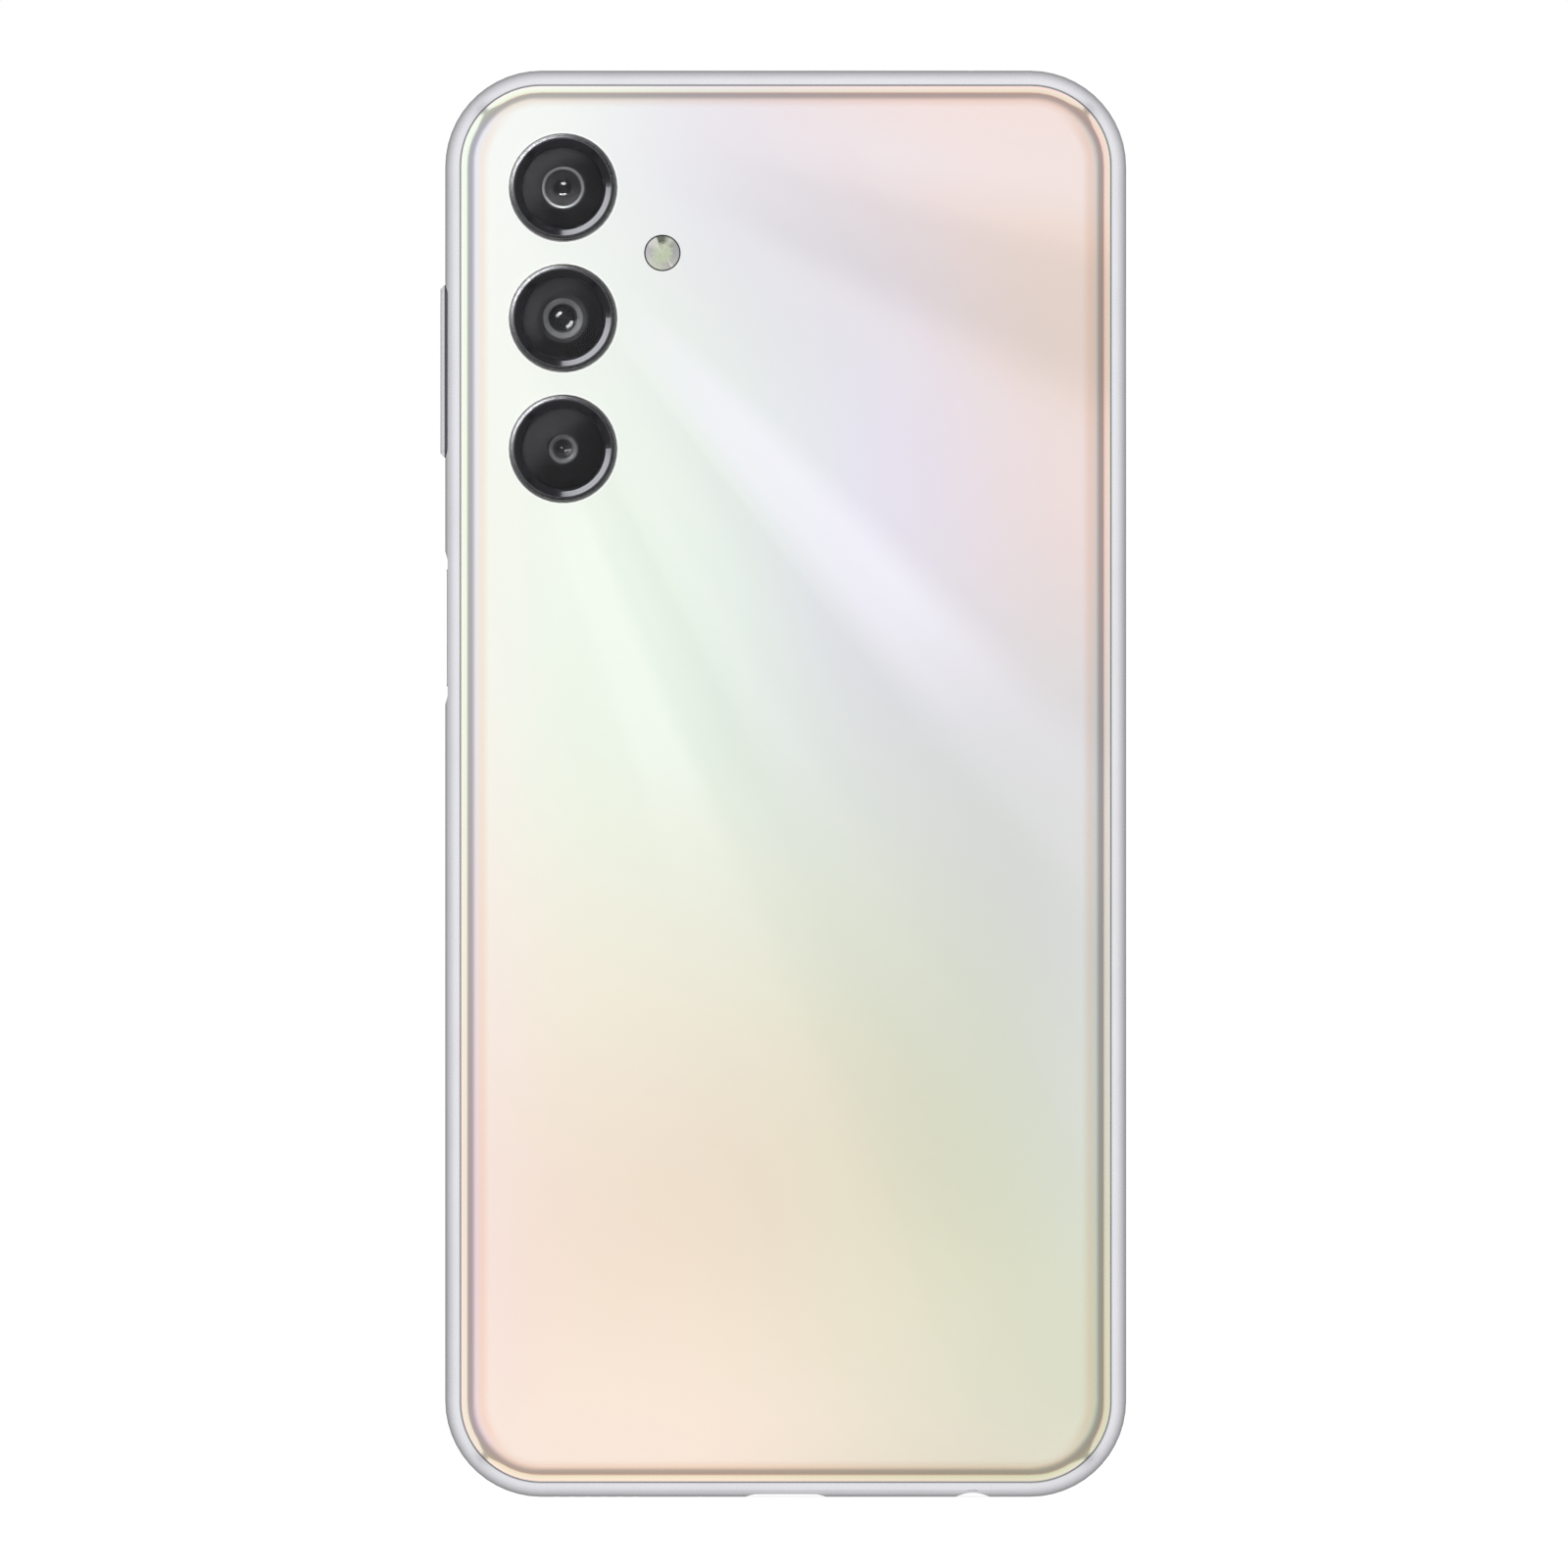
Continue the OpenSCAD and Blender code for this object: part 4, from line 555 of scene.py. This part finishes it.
# ---------------------------------------------------------------- pieces
def mesh_object(name, bm, material, body, smooth=30.0):
    """An object from a bmesh, shaded smooth below the given edge angle, riding on a body."""
    bmesh.ops.recalc_face_normals(bm, faces=bm.faces)
    for edge in bm.edges:
        if len(edge.link_faces) == 2:
            edge.smooth = edge.calc_face_angle(0.0) < math.radians(smooth)
    for face in bm.faces:
        face.smooth = True
    mesh = bpy.data.meshes.new(name)
    bm.to_mesh(mesh)
    bm.free()
    mesh.materials.append(material)
    obj = bpy.data.objects.new(name, mesh)
    scene.collection.objects.link(obj)
    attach(obj, body)
    return obj


def lathe(profile, at, steps=96):
    """A ring or disc turned about the Y direction at (x, z).

    The profile is (radius, y) in millimetres, and closed if it ends on its start."""
    bm = bmesh.new()
    closed = profile[0] == profile[-1]
    points = profile[:-1] if closed else profile
    rows = []
    for r, y in points:
        if r < 1e-6:
            rows.append([bm.verts.new((at[0] * MM, y * MM, at[1] * MM))])
            continue
        row = []
        for k in range(steps):
            a = 2 * math.pi * k / steps
            row.append(bm.verts.new(((at[0] + r * math.cos(a)) * MM, y * MM, (at[1] + r * math.sin(a)) * MM)))
        rows.append(row)
    pairs = list(zip(rows, rows[1:])) + ([(rows[-1], rows[0])] if closed else [])
    for a, b in pairs:
        for k in range(steps):
            n = (k + 1) % steps
            corners = [a[k % len(a)], a[n % len(a)], b[n % len(b)], b[k % len(b)]]
            unique = list(dict.fromkeys(corners))
            if len(unique) > 2:
                bm.faces.new(unique)
    return bm


# windows, ink and lens stacks: body, top of the barrel, rim inner and outer radius, dome radius, ink opening
stacks = {
    "upper": ("phone", -4.35, 2.05, 2.39, 0.62, 2.62),
    "middle": ("main_lens", -4.05, 1.62, 2.28, 0.88, 2.80),
    "lower": ("phone", -4.35, 1.10, 1.66, 0.30, 1.80),
}
GLASS_TOP, GLASS_LOW, INK_TOP, INK_LOW = -5.30, -4.77, -4.75, -4.71
WINDOW_R = 4.80
FLAT_R = 4.52  # the window's flat, inside its bevel
SLOPE = 0.364  # of a lens face at its edge
BOWL_STEPS = 10
seen = []  # windows and lenses, which the small lights shine on
for at, (tag, (body, top, rim_in, rim_out, dome, hole)) in zip(RINGS, stacks.items()):
    window = mesh_object(f"lens_window_{tag}", lathe(
        [(0, GLASS_TOP), (FLAT_R, GLASS_TOP), (FLAT_R + 0.14, GLASS_TOP + 0.15), (WINDOW_R, GLASS_TOP + 0.30),
         (WINDOW_R, GLASS_LOW), (0, GLASS_LOW)], at), slots["window_glass"], "phone", 20)
    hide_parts(f"camera_window_{tag}")
    print_ = mesh_object(f"window_print_{tag}", lathe(
        [(hole, INK_TOP), (FLAT_R, INK_TOP), (FLAT_R, INK_LOW), (hole, INK_LOW), (hole, INK_TOP)], at),
        ink, "phone")
    rim = mesh_object(f"lens_rim_{tag}", lathe(
        [(rim_out, top + 0.3), (rim_out, top - 0.02), (rim_out - 0.05, top - 0.06), (rim_out - 0.14, top - 0.06),
         (rim_in + 0.06, top + 0.02), (rim_in, top + 0.08), (rim_in, top + 0.3), (rim_out, top + 0.3)], at),
        rims[tag], body)
    cone_out = dome + max(0.12, dome * 0.42)
    seat = top + 0.22
    bowl = [(dome * i / BOWL_STEPS, seat - 0.5 * SLOPE * dome + SLOPE * dome * (i / BOWL_STEPS) ** 2 / 1.8)
            for i in range(BOWL_STEPS + 1)]
    low = bowl[-1][1]
    edge = low - SLOPE * (cone_out - dome)
    glass = mesh_object(f"lens_element_{tag}", lathe(
        bowl + [(dome + 0.02, low), (cone_out, edge), (cone_out + 0.06, edge + 0.01), (cone_out + 0.1, low),
                (cone_out + 0.1, low + 0.12), (0, low + 0.12)], at), coated, body, 15)
    baffle = mesh_object(f"lens_baffle_{tag}", lathe(
        [(rim_in, top + 0.12), (rim_in, top + 0.36), (cone_out + 0.04, top + 0.40), (cone_out + 0.04, low + 0.03),
         ((rim_in + cone_out) / 2, low - 0.03), (rim_in, top + 0.12)], at), baffle_black, body, 15)
    seen += [(tag, window), (tag, glass)]

# front camera: a rim and a lens that face the other way
_, (_, eye_y, _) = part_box("front_camera")
eye_y /= MM
eye_rim = mesh_object("front_lens_rim", lathe(
    [(1.08, eye_y - 0.3), (1.08, eye_y - 0.02), (1.0, eye_y + 0.02), (0.74, eye_y - 0.08), (0.74, eye_y - 0.3),
     (1.08, eye_y - 0.3)], FRONT_CAM, 64), rims["lower"], "phone")
eye_lens = mesh_object("front_lens_element", lathe(
    [(0, eye_y - 0.06), (0.2, eye_y - 0.07), (0.4, eye_y - 0.11), (0.55, eye_y - 0.16), (0.72, eye_y - 0.25),
     (0.72, eye_y - 0.4), (0, eye_y - 0.4)], FRONT_CAM, 64), coated, "phone", 25)

# flash: a lens cut in facets over the phosphor, in a thin dark gasket
FACETS = 28
bm = bmesh.new()
rows = []
for r, y, lift in ((0.35, -4.22, 0.03), (0.95, -4.26, 0.05), (1.45, -4.27, 0.05), (1.80, -4.33, 0.0),
                   (1.93, -4.30, 0.0), (1.93, -3.60, 0.0), (2.58, -3.60, 0.0), (2.58, -3.22, 0.0)):
    row = []
    for k in range(FACETS):
        a = 2 * math.pi * k / FACETS
        y_k = y + (lift if k % 2 else -lift)
        row.append(bm.verts.new(((FLASH[0] + r * math.cos(a)) * MM, y_k * MM, (FLASH[1] + r * math.sin(a)) * MM)))
    rows.append(row)
for low_row, high_row in zip(rows, rows[1:]):
    for k in range(FACETS):
        n = (k + 1) % FACETS
        bm.faces.new((low_row[k], low_row[n], high_row[n], high_row[k]))
tip = bm.verts.new((FLASH[0] * MM, -4.24 * MM, FLASH[1] * MM))
for k in range(FACETS):
    bm.faces.new((tip, rows[0][(k + 1) % FACETS], rows[0][k]))
bm.faces.new(rows[-1])
flash = mesh_object("flash_facets", bm, slots["flash_plastic"], "phone", 12)
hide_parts("flash_lens")
gasket = mesh_object("flash_gasket", lathe(
    [(1.94, -3.62), (1.94, -4.33), (1.97, -4.36), (2.01, -4.36), (2.04, -4.33), (2.04, -3.62), (1.94, -3.62)],
    FLASH), slots["black_trim"], "phone")


# ---------------------------------------------------------------- camera and light
cam_data = bpy.data.cameras.new("camera")
cam = bpy.data.objects.new("camera", cam_data)
scene.collection.objects.link(cam)
scene.camera = cam
DISTANCE = 2.0
FRAME_WIDTH = 0.1774  # metres across the picture at the cover
AIM_X, AIM_Z = -0.00019, 0.08082
SENSOR_MM = 36.0
cam_data.sensor_width = SENSOR_MM
cam_data.lens = SENSOR_MM * DISTANCE / FRAME_WIDTH
cam_data.clip_end = 50.0
cam.location = (AIM_X, BACK_Y * MM - DISTANCE, AIM_Z)
cam.rotation_euler = (math.radians(90), 0, 0)
scene.view_settings.view_transform = "Standard"

# room: bright behind the camera, darker to the sides, with a band of strips that stops at the four corners.
# turn is the angle from the camera's side, as a share of half a circle
world = bpy.data.worlds.new("studio")
scene.world = world
w = Graph("studio", world)
direction = w.node("ShaderNodeTexCoord").outputs["Generated"]
split = w.node("ShaderNodeSeparateXYZ")
w.put(split.inputs[0], direction)
dx, dy, dz = split.outputs
turn = w.math("DIVIDE", w.math("ARCCOSINE", w.math("MULTIPLY", dy, -1.0)), math.pi)
base = w.ramp(turn, [
    (0.0, 1.0), (0.16, 0.98), (0.20, 0.80), (0.245, 0.56), (0.31, 0.50), (0.36, 0.52), (0.50, 0.50),
    (0.57, 0.90), (0.66, 0.70), (0.76, 0.47), (0.88, 0.27), (1.0, 0.17)], "EASE")
box = w.math("MAXIMUM", w.math("ABSOLUTE", dx), w.math("ABSOLUTE", dz))
round_ = w.math("SQRT", w.math("SUBTRACT", 1.0001, w.math("MULTIPLY", dy, dy)))
square = w.remap(w.math("DIVIDE", box, round_), 0.722, 0.756)
taper = w.remap(w.math("DIVIDE", box, round_), 0.74, 0.86, 0.07, 0.0)
strip = w.math("MULTIPLY", w.remap(w.math("SUBTRACT", turn, taper), 0.335, 0.375), w.remap(turn, 0.57, 0.50))
light = w.math("ADD", base, w.math("MULTIPLY", w.math("MULTIPLY", strip, square), 0.56))
back = w.node("ShaderNodeBackground")
w.put(back.inputs[0], w.vmath("SCALE", (0.995, 0.995, 1.01), scale=light))
white = w.node("ShaderNodeBackground")
white.inputs[0].default_value = (1, 1, 1, 1)
path = w.node("ShaderNodeLightPath")
join = w.node("ShaderNodeMixShader")
w.put(join.inputs[0], path.outputs["Is Camera Ray"])
w.put(join.inputs[1], back.outputs[0])
w.put(join.inputs[2], white.outputs[0])
w.put(w.out.inputs[0], join.outputs[0])


def softbox(name, azimuth, off_axis, width, height, radiance, lit):
    """Rectangular light a metre from the cameras that gives only gloss, and only on the given objects.

    azimuth is counted from +X towards +Z seen from the back, off_axis from the direction that the cover
    faces, both in degrees; width and height are in metres."""
    data = bpy.data.lights.new(name, "AREA")
    data.shape = "RECTANGLE"
    data.size, data.size_y = width, height
    data.energy = radiance * math.pi * width * height
    lamp = bpy.data.objects.new(name, data)
    scene.collection.objects.link(lamp)
    az, off = math.radians(azimuth), math.radians(off_axis)
    out = Vector((math.sin(off) * math.cos(az), -math.cos(off), math.sin(off) * math.sin(az)))
    target = Vector((RINGS[1][0] * MM, RING_TOP_Y * MM, RINGS[1][1] * MM))
    side = Vector((-math.sin(az), 0, math.cos(az)))
    up = out.cross(side)
    lamp.matrix_world = Matrix.Translation(target + out) @ Matrix((side, up, out)).transposed().to_4x4()
    only = bpy.data.collections.new(name + "_lit")
    for obj in lit:
        only.objects.link(obj)
    lamp.light_linking.receiver_collection = only
    lamp.visible_diffuse = False


rings = [nodes[f"camera_ring_{tag}"] for tag in stacks]
softbox("ring_light", 135, 82, 2.0, 0.22, 20.0, rings)
softbox("slope_light", 135, 32, 0.7, 0.5, 30.0, rings)
softbox("lens_light_top", 90, 40, 0.66, 0.44, 105.0, [pane for tag, pane in seen if tag == "upper"])
softbox("lens_light_side", 135, 40, 0.66, 0.44, 105.0, [pane for tag, pane in seen if tag != "upper"])

# floor: a white disc that takes a faint shadow and fades out before its edge
FLOOR_R = 0.45
bm = bmesh.new()
bmesh.ops.create_circle(bm, cap_ends=True, segments=96, radius=FLOOR_R)
floor_mesh = bpy.data.meshes.new("floor")
bm.to_mesh(floor_mesh)
bm.free()
floor = bpy.data.objects.new("floor", floor_mesh)
scene.collection.objects.link(floor)
floor.visible_glossy = False
floor.visible_diffuse = False
fg = Graph("floor")
fx, fy, _ = fg.axes()
away = fg.math("SQRT", fg.math("ADD", fg.math("MULTIPLY", fx, fx), fg.math("MULTIPLY", fy, fy)))
shown = fg.remap(away, 50.0, 300.0, 1.0, 0.0)
paint = fg.node("ShaderNodeBsdfDiffuse")
paint.inputs[0].default_value = (0.3, 0.3, 0.3, 1)
glow = fg.node("ShaderNodeEmission")
glow.inputs[0].default_value = (0.88, 0.88, 0.88, 1)
both = fg.node("ShaderNodeAddShader")
fg.put(both.inputs[0], paint.outputs[0])
fg.put(both.inputs[1], glow.outputs[0])
clear = fg.node("ShaderNodeBsdfTransparent")
fade = fg.node("ShaderNodeMixShader")
fg.put(fade.inputs[0], shown)
fg.put(fade.inputs[1], clear.outputs[0])
fg.put(fade.inputs[2], both.outputs[0])
fg.put(fg.out.inputs[0], fade.outputs[0])
floor_mesh.materials.append(fg.mat)
